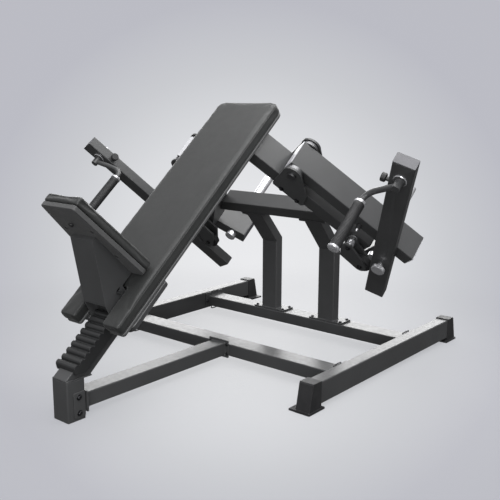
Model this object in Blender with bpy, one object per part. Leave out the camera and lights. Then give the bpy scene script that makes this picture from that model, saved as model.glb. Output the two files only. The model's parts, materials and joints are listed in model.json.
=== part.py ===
"""Plate-loaded incline chest-fly bench: a welded steel frame, a long inclined back pad, a seat that
climbs a toothed rack, and two hinged lever arms with swivelling handles and weight sleeves.
Metres, +Z up, the rails run along +Y, and +X is the side that the names call right."""
import math

import bmesh
import bpy
from mathutils import Matrix, Vector

# Driving dimensions ---------------------------------------------------------------------------
GAP = 0.0003                    # clearance between touching pieces
WALL = 0.004                    # tube wall
TUBE_CORNER = 0.004             # outer corner radius of square tube
FLANGE = 0.006                  # thickness of a bolting flange

CENTRE_SHIFT_Y = -0.03544       # puts the world's origin under the middle of the machine

# Base, in the machine's own coordinates: Y from near the front cross-member, floor at 0
RAIL_OUTER_X = 0.675
RAIL_WIDTH, RAIL_HEIGHT, RAIL_BASE_Z = 0.060, 0.091, 0.022
RAIL_FRONT_Y, RAIL_BACK_Y = -0.240, 0.942
FOOT_GRIP, FOOT_TOP_Z, FOOT_LIP = 0.042, 0.118, 0.009      # how far a boot covers its rail
FOOT_NOSE_TOP, FOOT_NOSE, FOOT_LIP_END = 0.010, 0.036, 0.044   # beyond the rail's end
FOOT_SKIN, FOOT_LIP_IN, FOOT_LIP_OUT = 0.003, 0.031, 0.007     # beside the rail
CROSS_FLANGE_HALF, CROSS_FLANGE_LOW, CROSS_FLANGE_HIGH = 0.070, 0.008, 0.018
SPINE_FLANGE_WIDE, SPINE_FLANGE_LOW, SPINE_FLANGE_HIGH = 0.018, 0.010, 0.012
CROSS_LOW_Z, CROSS_TOP_Z = 0.036, 0.092
FRONT_CROSS_Y, REAR_CROSS_Y = (-0.037, 0.062), (0.543, 0.643)
SPINE_HALF, SPINE_Z = 0.040, (0.037, 0.097)
POST_HALF, POST_Y, POST_TOP_Z = 0.045, (-0.915, -0.834), 0.158
HEAD_PLATE, HEAD_PLATE_REAR = 0.006, 0.037

# Inclined frame: X across, Y up the pad, Z out of the pad's face
INCLINE_DEG = 40.64
INCLINE_ORIGIN = Vector((0, -0.7834, 0.3620))
BEAM_HALF, BEAM_FRONT, BEAM_BACK, BEAM_TOP = 0.040, -0.064, -0.140, 1.137
PAD_HALF, PAD_LENGTH, PAD_CORNER = 0.175, 1.248, 0.035
FOAM_BACK, BOARD_BACK = -0.0497, -0.0637
NOTCH_HALF, NOTCH_TOP = 0.080, 0.185
WING_FRONT, WING_BACK, WING_Y = -0.0655, -0.089, (0.040, 0.283)
RACK_HALF, RACK_FRONT, RACK_BACK = 0.057, -0.051, -0.103
RACK_START, TOOTH_PITCH, TOOTH_COUNT, TOOTH_DEPTH = -0.185, 0.030, 12, 0.010
RACK_END_ROLL = 0.005           # extra height of the lowest tooth
LATCH_TOOTH = 10                # tooth the latch rests behind

# Uprights and crossbar
UPRIGHT_X, UPRIGHT_WIDTH, UPRIGHT_DEPTH, UPRIGHT_Y = 0.180, 0.095, 0.050, 0.578
UPRIGHT_TILTED_Y = 1.103        # centre line of the tilted part, up the pad
CROSSBAR_Y, CROSSBAR_Z = (1.080, 1.170), (-0.527, -0.590)
BASE_PLATE = 0.008

# Swing frame: origin on the lever's pivot, X outwards, Y up the pad, Z back along the lever
PIVOT_X, PIVOT_Z = 0.3340, -0.1605
SPLAY_DEG = 35.44
SPLAY_X, SPLAY_END, SPLAY_Y = (-0.192, -0.117), 0.487, (1.006, 1.137)
LEVER_X, LEVER_RUN, LEVER_Y = (-0.036, 0.031), (-0.037, 0.635), (0.992, 1.120)
NEAR_PLATE_Y, FAR_PLATE_Y = (0.962, 0.972), (1.1373, 1.147)
SHAFT_RADIUS, BEARING_RADIUS, EAR_RADIUS = 0.0125, 0.039, 0.045
ARM_Y, ARM_WIDTH = (0.941, 0.9915), 0.090
ARM_TOP, ARM_END = Vector((0.534, 0.234)), Vector((-0.316, 0.683))   # X and run from the pivot
KNOB_AT, KNOB_RADIUS = 0.702, 0.0305   # the first is along the arm
PEG_AT, PEG_RADIUS, PEG_END_Y = 0.082, 0.012, 0.912
PIN_AT, PIN_RADIUS, PIN_COLLAR_RADIUS, PIN_KNOB_RADIUS = 0.135, 0.005, 0.010, 0.019
PIN_COLLAR, PIN_GUIDE = (-0.043, -0.058), (-0.020, -0.070)     # beside the arm's centre line
GRIP_AT = Vector((0.303, 0.228))
GRIP_Y, GRIP_RADIUS, HANDLE_RADIUS = (0.875, 0.622), 0.0225, 0.0125
BEND_IN, BEND_DOWN, BEND_STEPS = 0.065, 0.045, 10
CARRIER_Y, CARRIER_RUN, CARRIER_X = (1.091, 1.215), (0.543, 0.618), (-0.343, -0.0363)
CARRIER_MITRE_X = -0.103        # where the mitre meets the carrier's upper face
SLEEVE_AT, SLEEVE_RADIUS, SLEEVE_END_Y = Vector((-0.275, 0.581)), 0.025, 1.530
STOP_AT, STOP_RADIUS, STOP_EAR = Vector((-0.208, 0.523)), 0.0455, 0.030
STOP_NEAR_Y, STOP_FAR_Y = (0.942, 0.952), (0.985, 0.995)
CHROME_SPACER_AT, CHROME_SPACER_RADIUS = Vector((-0.143, 0.412)), 0.017

# Seat frame: origin on the rear edge of the seam plane, Y towards the pad, Z out of the seat
SEAT_ORIGIN = Vector((0, 0.258, 0.006))
SEAT_DEPTH, SEAT_FRONT_HALF, SEAT_REAR_HALF = 0.408, 0.099, 0.149
SEAT_TILT_DEG = -85.04          # from the incline frame's Y axis
SEAT_FOAM, SEAT_BOARD = 0.042, 0.020
BRACKET_HALF, BRACKET_SHEET = 0.065, 0.005
LATCH_PIVOT = Vector((0.156, -0.034))      # up the pad, out of the pad
LATCH_BAR = Vector((0.140, 0.008))         # finger bar at rest, in the bracket's slot
LATCH_SWING_DEG = -25

MATERIALS = {                   # colour, roughness, metallic
    "frame_paint": ((0.045, 0.046, 0.048, 1), 0.42, 0.3),
    "black_paint": ((0.016, 0.016, 0.017, 1), 0.45, 0.2),
    "vinyl": ((0.022, 0.023, 0.024, 1), 0.55, 0.0),
    "board": ((0.02, 0.02, 0.021, 1), 0.6, 0.0),
    "rubber": ((0.012, 0.012, 0.013, 1), 0.7, 0.0),
    "plastic": ((0.018, 0.018, 0.019, 1), 0.5, 0.0),
    "cap_grey": ((0.42, 0.42, 0.44, 1), 0.35, 0.2),
    "chrome": ((0.75, 0.75, 0.77, 1), 0.12, 1.0),
}


# Helpers --------------------------------------------------------------------------------------
def clear_scene():
    for item in list(bpy.data.objects):
        bpy.data.objects.remove(item, do_unlink=True)


def make_material(name):
    colour, roughness, metallic = MATERIALS[name]
    material = bpy.data.materials.new(name)
    material.use_nodes = True
    shader = material.node_tree.nodes["Principled BSDF"]
    shader.inputs["Base Color"].default_value = colour
    shader.inputs["Roughness"].default_value = roughness
    shader.inputs["Metallic"].default_value = metallic
    return material


def frame_empty(name, location, rotation=(0, 0, 0), parent=None):
    empty = bpy.data.objects.new(name, None)
    bpy.context.scene.collection.objects.link(empty)
    empty.parent = parent
    empty.location = location
    empty.rotation_euler = rotation
    return empty


def finish(name, shape, material, parent=None, smooth=False):
    """Turn a bmesh into a named object, with outward normals."""
    bmesh.ops.recalc_face_normals(shape, faces=shape.faces)
    mesh = bpy.data.meshes.new(name)
    shape.to_mesh(mesh)
    shape.free()
    mesh.materials.append(material)
    if smooth:
        mesh.shade_smooth()
        mesh.set_sharp_from_angle(angle=math.radians(35))
    item = bpy.data.objects.new(name, mesh)
    bpy.context.scene.collection.objects.link(item)
    item.parent = parent or machine
    return item


def arc(centre, radius, start_deg, end_deg, steps):
    """Points on an arc, both ends included."""
    angles = [math.radians(start_deg + (end_deg - start_deg) * i / steps) for i in range(steps + 1)]
    return [Vector((centre[0] + radius * math.cos(a), centre[1] + radius * math.sin(a)))
            for a in angles]


def rounded_rectangle(low, high, radius, steps=2):
    """Outline between two opposite corners, with round corners."""
    (x0, y0), (x1, y1) = low, high
    corners = [((x1 - radius, y1 - radius), 0), ((x0 + radius, y1 - radius), 90),
               ((x0 + radius, y0 + radius), 180), ((x1 - radius, y0 + radius), 270)]
    return [p for centre, start in corners for p in arc(centre, radius, start, start + 90, steps)]


def rounded_polygon(points, radii, steps=4):
    """Outline with each corner replaced by an arc of its radius (0 keeps it sharp)."""
    outline = []
    for index, radius in enumerate(radii):
        corner = Vector(points[index])
        before = (Vector(points[index - 1]) - corner).normalized()
        after = (Vector(points[(index + 1) % len(points)]) - corner).normalized()
        if radius == 0:
            outline.append(corner)
            continue
        half = before.angle(after) / 2
        centre = corner + (before + after).normalized() * radius / math.sin(half)
        first = corner + before * radius / math.tan(half) - centre
        last = corner + after * radius / math.tan(half) - centre
        turn = first.angle_signed(last)
        for step in range(steps + 1):
            angle = -turn * step / steps
            outline.append(centre + Matrix.Rotation(angle, 2) @ first)
    return outline


def ring_faces(shape, rings, closed):
    """Quads between successive rings of the same length."""
    count = len(rings[0])
    last = len(rings) if closed else len(rings) - 1
    for index in range(last):
        here, there = rings[index], rings[(index + 1) % len(rings)]
        for side in range(count):
            after = (side + 1) % count
            shape.faces.new((here[side], here[after], there[after], there[side]))


def loft(name, rings, material, hollow=False, **placing):
    """A solid through rings of points. A hollow one runs out along its outside and back inside."""
    shape = bmesh.new()
    rings = [[shape.verts.new(point) for point in ring] for ring in rings]
    ring_faces(shape, rings, closed=hollow)
    if not hollow:
        shape.faces.new(rings[0])
        shape.faces.new(rings[-1])
    return finish(name, shape, material, **placing)


AXES = {"x": lambda u, v, t: Vector((t, u, v)),
        "y": lambda u, v, t: Vector((u, t, v)),
        "z": lambda u, v, t: Vector((u, v, t))}


def plate(name, outline, along, low, high, material, **placing):
    """An outline extruded along an axis; its points are in the other two axes, in order."""
    place = AXES[along]
    rings = [[place(p[0], p[1], t) for p in outline] for t in (low, high)]
    return loft(name, rings, material, **placing)


def box_tube(name, low, high, along, ends, material, flange=None, **placing):
    """A hollow rectangular tube, open at both ends. flange = (low, high, thickness) adds
    a welded plate at each end."""
    place = AXES[along]
    inset = Vector((WALL, WALL))
    outer = rounded_rectangle(low, high, TUBE_CORNER)
    inner = rounded_rectangle(Vector(low) + inset, Vector(high) - inset, TUBE_CORNER / 2)
    start, end = ends
    stations = [(outer, start), (outer, end)]
    if flange:
        wide = rounded_rectangle(flange[0], flange[1], TUBE_CORNER)
        stations = [(wide, start), (wide, start + flange[2]), (outer, start + flange[2]),
                    (outer, end - flange[2]), (wide, end - flange[2]), (wide, end)]
    stations += [(inner, end), (inner, start)]
    rings = [[place(p[0], p[1], t) for p in outline] for outline, t in stations]
    return loft(name, rings, material, hollow=True, **placing)


def turned(name, profile, material, centre=(0, 0), along="y", steps=32, **placing):
    """A solid of revolution. profile holds (radius, position along the axis) pairs."""
    place = AXES[along]
    shape = bmesh.new()
    rings = []
    for radius, t in profile:
        if radius == 0:
            rings.append([shape.verts.new(place(centre[0], centre[1], t))])
            continue
        circle = [p for p in arc(centre, radius, 0, 360, steps)[:-1]]
        rings.append([shape.verts.new(place(p[0], p[1], t)) for p in circle])
    solid = profile[0][0] == 0
    last = len(rings) - 1 if solid else len(rings)
    for index in range(last):
        here, there = rings[index], rings[(index + 1) % len(rings)]
        for side in range(steps):
            after = (side + 1) % steps
            corners = [here[side % len(here)], here[after % len(here)],
                       there[after % len(there)], there[side % len(there)]]
            shape.faces.new(list(dict.fromkeys(corners)))
    return finish(name, shape, material, smooth=True, **placing)


def combine(item, operation, *others):
    """Boolean the others into the item; they stay behind only as hidden cutters."""
    for other in others:
        other.hide_render = True
        other.display_type = 'WIRE'
        change = item.modifiers.new(other.name, 'BOOLEAN')
        change.operation = operation
        change.object = other
    return item


def round_edges(item, width=0.0015, segments=1):
    bevel = item.modifiers.new("round_edges", 'BEVEL')
    bevel.width = width
    bevel.segments = segments
    bevel.limit_method = 'ANGLE'
    bevel.angle_limit = math.radians(40)
    return item


def cylinder_tool(name, centre, radius, low, high, parent, along="y", steps=24):
    """A plain cylinder to cut or add with."""
    profile = [(0, low), (radius, low), (radius, high), (0, high)]
    return turned(name, profile, PAINT, centre=centre, along=along, steps=steps, parent=parent)


def swept_tube(name, route, radius, plane_normal, parent, steps=20):
    """A solid round bar along a route that lies in one plane."""
    rings = []
    for index, spot in enumerate(route):
        ahead = route[min(index + 1, len(route) - 1)] - route[max(index - 1, 0)]
        across = ahead.normalized().cross(plane_normal)
        rings.append([spot + plane_normal * p.x + across * p.y
                      for p in arc((0, 0), radius, 0, 360, steps)[:-1]])
    return loft(name, rings, PAINT, parent=parent, smooth=True)


# Base -----------------------------------------------------------------------------------------
def build_rail(side, name):
    inner_x = RAIL_OUTER_X - RAIL_WIDTH
    low, high = sorted((side * inner_x, side * RAIL_OUTER_X))
    box_tube(f"rail_{name}", (low, RAIL_BASE_Z), (high, RAIL_BASE_Z + RAIL_HEIGHT), "y",
             (RAIL_FRONT_Y, RAIL_BACK_Y), PAINT)


def build_foot(side, front, name):
    """A moulded boot over a rail's end, flared towards a wide lip on the floor."""
    end_y = RAIL_FRONT_Y if front else RAIL_BACK_Y
    out = -1 if front else 1
    slope, draft = 0.006, 0.004
    root, lip = end_y - out * FOOT_GRIP, end_y + out * FOOT_LIP_END
    nose, nose_top = end_y + out * FOOT_NOSE, end_y + out * FOOT_NOSE_TOP
    rail_low, rail_high = RAIL_OUTER_X - RAIL_WIDTH, RAIL_OUTER_X
    outline = [(lip, 0), (lip, FOOT_LIP), (nose, FOOT_LIP), (nose_top + out * draft, FOOT_TOP_Z - slope),
               (nose_top, FOOT_TOP_Z), (root, FOOT_TOP_Z), (root, 0)]
    boot = plate(f"foot_{name}", outline, "x", side * (rail_low - FOOT_SKIN),
                 side * (rail_high + FOOT_SKIN), PLASTIC)
    lip_root = root - out * 2 * FOOT_LIP
    lip_outline = rounded_rectangle((min(lip, lip_root), 0), (max(lip, lip_root), FOOT_LIP), 0.002)
    flange = plate(f"foot_{name}_lip", lip_outline, "x", side * (rail_low - FOOT_LIP_IN),
                   side * (rail_high + FOOT_LIP_OUT), PLASTIC)
    middle, half = side * (RAIL_OUTER_X - RAIL_WIDTH / 2), RAIL_WIDTH / 2 + GAP
    pocket = rounded_rectangle((middle - half, RAIL_BASE_Z - GAP),
                               (middle + half, RAIL_BASE_Z + RAIL_HEIGHT + GAP), TUBE_CORNER)
    cutter = plate(f"foot_{name}_pocket", pocket, "y", end_y + out * GAP, root - out * FOOT_GRIP,
                   PLASTIC)
    combine(boot, 'UNION', flange)
    combine(boot, 'DIFFERENCE', cutter)
    return boot


def build_cross_member(name, y_span):
    half = RAIL_OUTER_X - RAIL_WIDTH - GAP
    centre = sum(y_span) / 2
    flange = ((centre - CROSS_FLANGE_HALF, CROSS_LOW_Z - CROSS_FLANGE_LOW),
              (centre + CROSS_FLANGE_HALF, CROSS_TOP_Z + CROSS_FLANGE_HIGH), FLANGE)
    box_tube(name, (y_span[0], CROSS_LOW_Z), (y_span[1], CROSS_TOP_Z), "x", (-half, half), PAINT,
             flange=flange)


def build_spine():
    half = SPINE_HALF + SPINE_FLANGE_WIDE
    flange = ((-half, SPINE_Z[0] - SPINE_FLANGE_LOW), (half, SPINE_Z[1] + SPINE_FLANGE_HIGH), FLANGE)
    box_tube("spine_tube", (-SPINE_HALF, SPINE_Z[0]), (SPINE_HALF, SPINE_Z[1]), "y",
             (POST_Y[1] + GAP, FRONT_CROSS_Y[0] - GAP), PAINT, flange=flange)


def build_post():
    box_tube("front_post", (-POST_HALF, POST_Y[0]), (POST_HALF, POST_Y[1]), "z",
             (0, POST_TOP_Z), PAINT)
    outline = rounded_rectangle((-POST_HALF, POST_Y[0]), (POST_HALF, POST_Y[1] + HEAD_PLATE_REAR),
                                TUBE_CORNER)
    round_edges(plate("post_head_plate", outline, "z", POST_TOP_Z + GAP,
                      POST_TOP_Z + GAP + HEAD_PLATE, PAINT))


# Inclined beam, pad and rack ------------------------------------------------------------------
def beam_foot_y(z):
    """Where the incline frame's height z meets the top of the post's head plate."""
    tilt = math.radians(INCLINE_DEG)
    top = POST_TOP_Z + 2 * GAP + HEAD_PLATE
    return (top - INCLINE_ORIGIN.z - z * math.cos(tilt)) / math.sin(tilt)


def build_main_beam(incline):
    outer = rounded_rectangle((-BEAM_HALF, BEAM_BACK), (BEAM_HALF, BEAM_FRONT), TUBE_CORNER)
    inner = rounded_rectangle((-BEAM_HALF + WALL, BEAM_BACK + WALL),
                              (BEAM_HALF - WALL, BEAM_FRONT - WALL), TUBE_CORNER / 2)
    rings = [[Vector((p.x, beam_foot_y(p.y), p.y)) for p in outer],
             [Vector((p.x, BEAM_TOP, p.y)) for p in outer],
             [Vector((p.x, BEAM_TOP, p.y)) for p in inner],
             [Vector((p.x, beam_foot_y(p.y), p.y)) for p in inner]]
    loft("main_beam", rings, PAINT, hollow=True, parent=incline)


def tooth_outline():
    """Side view of the rack: a row of rounded teeth along the front, a flat back."""
    crest = [(0.002, TOOTH_DEPTH), (0.007, 0.003), (0.012, 0), (0.020, 0), (0.026, 0.003),
             (0.029, TOOTH_DEPTH)]
    points = []
    for tooth in range(TOOTH_COUNT):
        start, front = RACK_START + tooth * TOOTH_PITCH, RACK_FRONT
        if tooth == 0:
            front += RACK_END_ROLL
        points += [Vector((start + along, front - down)) for along, down in crest]
    end = RACK_START + TOOTH_COUNT * TOOTH_PITCH
    return points + [Vector((end, RACK_BACK)), Vector((RACK_START + TOOTH_PITCH, RACK_BACK)),
                     Vector((RACK_START - RACK_END_ROLL, RACK_FRONT - 2 * TOOTH_DEPTH))]


def build_rack(incline):
    rack = plate("seat_rack", tooth_outline(), "x", -RACK_HALF, RACK_HALF, BLACK, parent=incline)
    half, top = BEAM_HALF + GAP, BEAM_FRONT + GAP
    channel = plate("seat_rack_channel", [(-half, top), (half, top), (half, -0.2), (-half, -0.2)],
                    "y", -0.4, 0.4, BLACK, parent=incline)
    combine(rack, 'DIFFERENCE', channel)


def pad_outline(half, length, inset=0.0):
    """The long pad's outline, with the notch that the seat bracket passes through."""
    corner, foot = PAD_CORNER, 0.012
    notch, top = NOTCH_HALF + inset, NOTCH_TOP + inset
    points = [(notch, inset), (half - inset, inset), (half - inset, length - inset),
              (-half + inset, length - inset), (-half + inset, inset), (-notch, inset),
              (-notch, top), (notch, top)]
    return rounded_polygon(points, [foot, foot, corner, corner, foot, foot, 0.02, 0.02])


def build_back_pad(incline):
    pad = plate("back_pad", pad_outline(PAD_HALF, PAD_LENGTH), "z", FOAM_BACK, 0, VINYL,
                parent=incline)
    round_edges(pad, 0.009, 3)
    board = plate("back_board", pad_outline(PAD_HALF, PAD_LENGTH, 0.004), "z", BOARD_BACK,
                  FOAM_BACK - GAP, BOARD, parent=incline)
    round_edges(board, 0.003)


def build_wing(side, name, incline):
    """Carrier plate under the pad's lower end, welded to the beam's side above the notch."""
    near, far, narrow = BEAM_HALF + GAP, PAD_HALF - 0.004, NOTCH_HALF - 0.006
    points = [(narrow, WING_Y[0]), (far, WING_Y[0]), (far, WING_Y[1]), (near, WING_Y[1]),
              (near, NOTCH_TOP + 0.006), (narrow, NOTCH_TOP + 0.006)]
    outline = rounded_polygon([(side * x, y) for x, y in points][::side],
                              [0.012, 0.03, 0.012, 0.004, 0.004, 0.004][::side])
    round_edges(plate(f"pad_wing_{name}", outline, "z", WING_BACK, WING_FRONT, PAINT,
                      parent=incline), 0.003)


# Uprights, crossbar and splayed beams ---------------------------------------------------------
def build_upright(side, name):
    """Bolt-down foot flange and a tube with one mitred bend, square to the pad at its top."""
    tilt = math.radians(INCLINE_DEG)
    down = Vector((0, math.sin(tilt), -math.cos(tilt)))        # away from the pad's back
    up_pad = Vector((0, math.cos(tilt), math.sin(tilt)))
    line = INCLINE_ORIGIN + up_pad * UPRIGHT_TILTED_Y
    bend = line + down * (UPRIGHT_Y - line.y) / down.y
    top = line + down * (-CROSSBAR_Z[1] + FLANGE + 2 * GAP)
    base_z = CROSS_TOP_Z + GAP
    rear = Vector((0, 1, 0))
    mitre = (rear + up_pad) / (1 + rear.dot(up_pad))
    base = Vector((0, UPRIGHT_Y, base_z))
    weld = base + Vector((0, 0, BASE_PLATE))
    stations = [(weld, rear), (bend, mitre), (top, up_pad)]
    foot = rounded_rectangle((-0.098, REAR_CROSS_Y[0] + 0.004 - UPRIGHT_Y),
                             (0.098, REAR_CROSS_Y[1] - 0.004 - UPRIGHT_Y), 0.006)
    half = Vector((UPRIGHT_WIDTH / 2, UPRIGHT_DEPTH / 2))
    outer = rounded_rectangle(-half, half, TUBE_CORNER)
    inner = rounded_rectangle(-half + Vector((WALL, WALL)), half - Vector((WALL, WALL)),
                              TUBE_CORNER / 2)

    def ring(outline, station):
        centre, across = station
        return [centre + Vector((side * UPRIGHT_X + p.x, 0, 0)) + across * p.y for p in outline]

    rings = [ring(foot, (base, rear)), ring(foot, (weld, rear))]
    rings += [ring(outer, station) for station in stations]
    rings += [ring(inner, station) for station in stations[::-1]] + [ring(inner, (base, rear))]
    loft(f"upright_{name}", rings, PAINT, hollow=True)


def splay_x(offset, run):
    """Incline-frame X of a point in the right swing frame."""
    angle = math.radians(SPLAY_DEG)
    return PIVOT_X + offset * math.cos(angle) + run * math.sin(angle)


def splay_run_at(offset, z):
    """How far down the splay the incline-frame height z is reached."""
    angle = math.radians(SPLAY_DEG)
    return (PIVOT_Z + offset * math.sin(angle) - z) / math.cos(angle)


def build_crossbar(incline):
    """Flat tube between the splayed beams, its ends cut to their inner faces."""
    inner_face = SPLAY_X[0]

    def reach(z):
        return splay_x(inner_face, splay_run_at(inner_face, z)) - 2 * GAP

    def ring(outline, side):
        return [Vector((side * reach(p.y), p.x, p.y)) for p in outline]

    low, high = (CROSSBAR_Y[0], CROSSBAR_Z[1]), (CROSSBAR_Y[1], CROSSBAR_Z[0])
    outer = rounded_rectangle(low, high, TUBE_CORNER)
    inner = rounded_rectangle(Vector(low) + Vector((WALL, WALL)), Vector(high) - Vector((WALL, WALL)),
                              TUBE_CORNER / 2)
    rings = [ring(outer, -1), ring(outer, 1), ring(inner, 1), ring(inner, -1)]
    crossbar = loft("crossbar", rings, PAINT, hollow=True, parent=incline)
    saddles = [build_saddle_plate(side, incline) for side in (1, -1)]
    combine(crossbar, 'UNION', *saddles)


def build_saddle_plate(side, incline):
    """Flange welded under the crossbar, over an upright's top."""
    outline = rounded_rectangle((side * UPRIGHT_X - 0.075, CROSSBAR_Y[0] - 0.005),
                                (side * UPRIGHT_X + 0.075, CROSSBAR_Y[1] - 0.006), 0.004)
    return plate(f"saddle_plate_{side}", outline, "z", CROSSBAR_Z[1] - FLANGE,
                 CROSSBAR_Z[1] + WALL / 2, PAINT, parent=incline)


def build_splay_beam(side, name, swing):
    """From the main beam's side, behind the pad, out to the stop bracket."""
    start_inner = splay_run_at(SPLAY_X[0], -0.079)
    start_outer = splay_run_at(SPLAY_X[1], -0.0655)

    def ring(outline, at_start):
        points = []
        for p in outline:
            share = (p.x - SPLAY_X[0]) / (SPLAY_X[1] - SPLAY_X[0])
            run = start_inner + (start_outer - start_inner) * share if at_start else SPLAY_END
            points.append(Vector((side * p.x, p.y, -run)))
        return points

    low, high = (SPLAY_X[0], SPLAY_Y[0]), (SPLAY_X[1], SPLAY_Y[1])
    outer = rounded_rectangle(low, high, TUBE_CORNER)
    inner = rounded_rectangle(Vector(low) + Vector((WALL, WALL)), Vector(high) - Vector((WALL, WALL)),
                              TUBE_CORNER / 2)
    rings = [ring(outer, True), ring(outer, False), ring(inner, False), ring(inner, True)]
    loft(f"splay_beam_{name}", rings, PAINT, hollow=True, parent=swing)


def build_head_gusset(side, name, incline):
    """Wedge that joins the main beam's side to the splayed beam."""
    inner_face, start, end = SPLAY_X[0], -0.084, BEAM_BACK
    near = BEAM_HALF + GAP
    outline = [(side * near, start), (side * near, end),
               (side * (splay_x(inner_face, splay_run_at(inner_face, end)) - 2 * GAP), end),
               (side * (splay_x(inner_face, splay_run_at(inner_face, start)) - 2 * GAP), start)]
    plate(f"head_gusset_{name}", outline, "y", SPLAY_Y[0] + 0.010, SPLAY_Y[1] - 0.010, PAINT,
          parent=incline)


# Pivot, lever, arm and weight carrier, in the swing frame ---------------------------------------
def ear_outline(side):
    """Plate from the splayed beam out to the pivot, with a round end."""
    root = [(-0.124, 0.136), (-0.142, 0.128), (-0.142, -0.026), (-0.128, -0.036)]
    round_end = arc((0, 0), EAR_RADIUS, -110, 62, 14)
    points = [Vector((x, run)) for x, run in root] + round_end + [Vector((-0.062, 0.112))]
    return [Vector((side * p.x, -p.y)) for p in points]


def build_pivot(side, name, swing):
    near = plate(f"pivot_plate_near_{name}", ear_outline(side), "y", *NEAR_PLATE_Y, PAINT,
                 parent=swing)
    bolts = [(-0.1295, 0.014), (-0.1295, 0.100)]
    spacers = [cylinder_tool(f"pivot_spacer_{name}_{i}", (side * x, -run), 0.011,
                             NEAR_PLATE_Y[1] - 0.004, SPLAY_Y[0] - GAP, swing)
               for i, (x, run) in enumerate(bolts)]
    bore = cylinder_tool(f"pivot_bore_{name}", (0, 0), SHAFT_RADIUS + GAP, 0.9, 1.2, swing)
    combine(near, 'UNION', *spacers)
    combine(near, 'DIFFERENCE', bore)
    far = plate(f"pivot_plate_far_{name}", ear_outline(side), "y", *FAR_PLATE_Y, PAINT,
                parent=swing)
    combine(far, 'DIFFERENCE', bore)
    head, tip = 0.010, 0.003
    low, high = NEAR_PLATE_Y[0] - GAP, FAR_PLATE_Y[1] + GAP
    wide, narrow = SHAFT_RADIUS + 0.008, SHAFT_RADIUS + 0.005
    profile = [(0, low - head), (narrow, low - head), (wide, low - head + tip), (wide, low),
               (SHAFT_RADIUS, low), (SHAFT_RADIUS, high), (wide, high), (wide, high + head - tip),
               (narrow, high + head), (0, high + head)]
    turned(f"pivot_shaft_{name}", profile, CHROME, parent=swing)
    return bore


def build_bearing(name, low, high, swing):
    inner = SHAFT_RADIUS + GAP
    lip = 0.0015
    profile = [(inner, low), (BEARING_RADIUS - lip, low), (BEARING_RADIUS, low + lip),
               (BEARING_RADIUS, high - lip), (BEARING_RADIUS - lip, high), (inner, high)]
    turned(name, profile, CHROME, parent=swing)


def build_lever(side, name, swing, bore):
    low, high = sorted((side * LEVER_X[0], side * LEVER_X[1]))
    lever = box_tube(f"lever_{name}", (low, LEVER_Y[0]), (high, LEVER_Y[1]), "z",
                     (-LEVER_RUN[1], -LEVER_RUN[0]), PAINT, parent=swing)
    combine(lever, 'DIFFERENCE', bore)
    build_bearing(f"bearing_near_{name}", NEAR_PLATE_Y[1] + GAP, LEVER_Y[0] - GAP, swing)
    build_bearing(f"bearing_far_{name}", LEVER_Y[1] + GAP, FAR_PLATE_Y[0] - GAP, swing)


def arm_axes():
    along = (ARM_END - ARM_TOP).normalized()
    return along, Vector((-along.y, along.x))


def arm_point(side, distance, offset, y):
    """A point beside the arm's centre line; a positive offset is on its outer side."""
    along, across = arm_axes()
    spot = ARM_TOP + along * distance - across * offset
    return Vector((side * spot.x, y, -spot.y))


def build_arm(side, name, swing):
    length = (ARM_END - ARM_TOP).length
    half = ARM_WIDTH / 2
    outer = rounded_rectangle((-half, ARM_Y[0]), (half, ARM_Y[1]), TUBE_CORNER)
    inner = rounded_rectangle((-half + WALL, ARM_Y[0] + WALL), (half - WALL, ARM_Y[1] - WALL),
                              TUBE_CORNER / 2)
    rings = [[arm_point(side, distance, p.x, p.y) for p in outline]
             for outline, distance in ((outer, 0), (outer, length), (inner, length), (inner, 0))]
    arm = loft(f"arm_{name}", rings, PAINT, hollow=True, parent=swing)
    peg = arm_point(side, PEG_AT, 0, 0)
    hole = cylinder_tool(f"arm_bore_{name}", (peg.x, peg.z), PEG_RADIUS + GAP, 0.9, 1.0, swing)
    collar_rings = [pin_circle(side, offset, PIN_COLLAR_RADIUS) for offset in PIN_COLLAR]
    collar = loft(f"arm_collar_{name}", collar_rings, PAINT, parent=swing)
    guide_rings = [pin_circle(side, offset, PIN_RADIUS + GAP) for offset in PIN_GUIDE]
    guide = loft(f"arm_guide_{name}", guide_rings, PAINT, parent=swing)
    combine(arm, 'UNION', collar)
    combine(arm, 'DIFFERENCE', hole, guide)
    cap = [[arm_point(side, distance, p.x, p.y) for p in rounded_rectangle(
        (-half + margin, ARM_Y[0] + margin), (half - margin, ARM_Y[1] - margin), TUBE_CORNER)]
        for distance, margin in ((-GAP, 0), (-0.004, 0), (-0.005, 0.001))]
    loft(f"arm_cap_{name}", cap, CAP, parent=swing)


def build_arm_knob(side, name, swing):
    """Round clamp knob on the arm's face, on a short neck."""
    spot = arm_point(side, KNOB_AT, 0, 0)
    face = ARM_Y[0] - GAP
    rim, ease, neck, depth = KNOB_RADIUS, 0.003, 0.014, 0.033
    profile = [(0, face), (0.015, face), (0.015, face - neck), (rim - ease, face - neck),
               (rim, face - neck - ease), (rim, face - depth + ease), (rim - ease, face - depth),
               (0, face - depth)]
    turned(f"arm_knob_{name}", profile, CHROME, centre=(spot.x, spot.z), parent=swing)


def pin_circle(side, offset, radius):
    """A circle about the pull pin's axis, that far beside the arm's centre line."""
    middle = sum(ARM_Y) / 2
    return [arm_point(side, PIN_AT + p.x, offset, middle + p.y)
            for p in arc((0, 0), radius, 0, 360, 20)[:-1]]


def build_pull_pin(side, name, swing):
    """Sprung pin: a stem through the arm's collar and a knob to pull it by."""
    knob = PIN_KNOB_RADIUS
    stations = [(-0.0135, PIN_RADIUS), (-0.060, PIN_RADIUS), (-0.060, knob - 0.004),
                (-0.063, knob - 0.001), (-0.078, knob), (-0.081, knob - 0.003)]
    rings = [pin_circle(side, offset, radius) for offset, radius in stations]
    loft(f"pull_pin_{name}", rings, PLASTIC, parent=swing, smooth=True)


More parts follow.
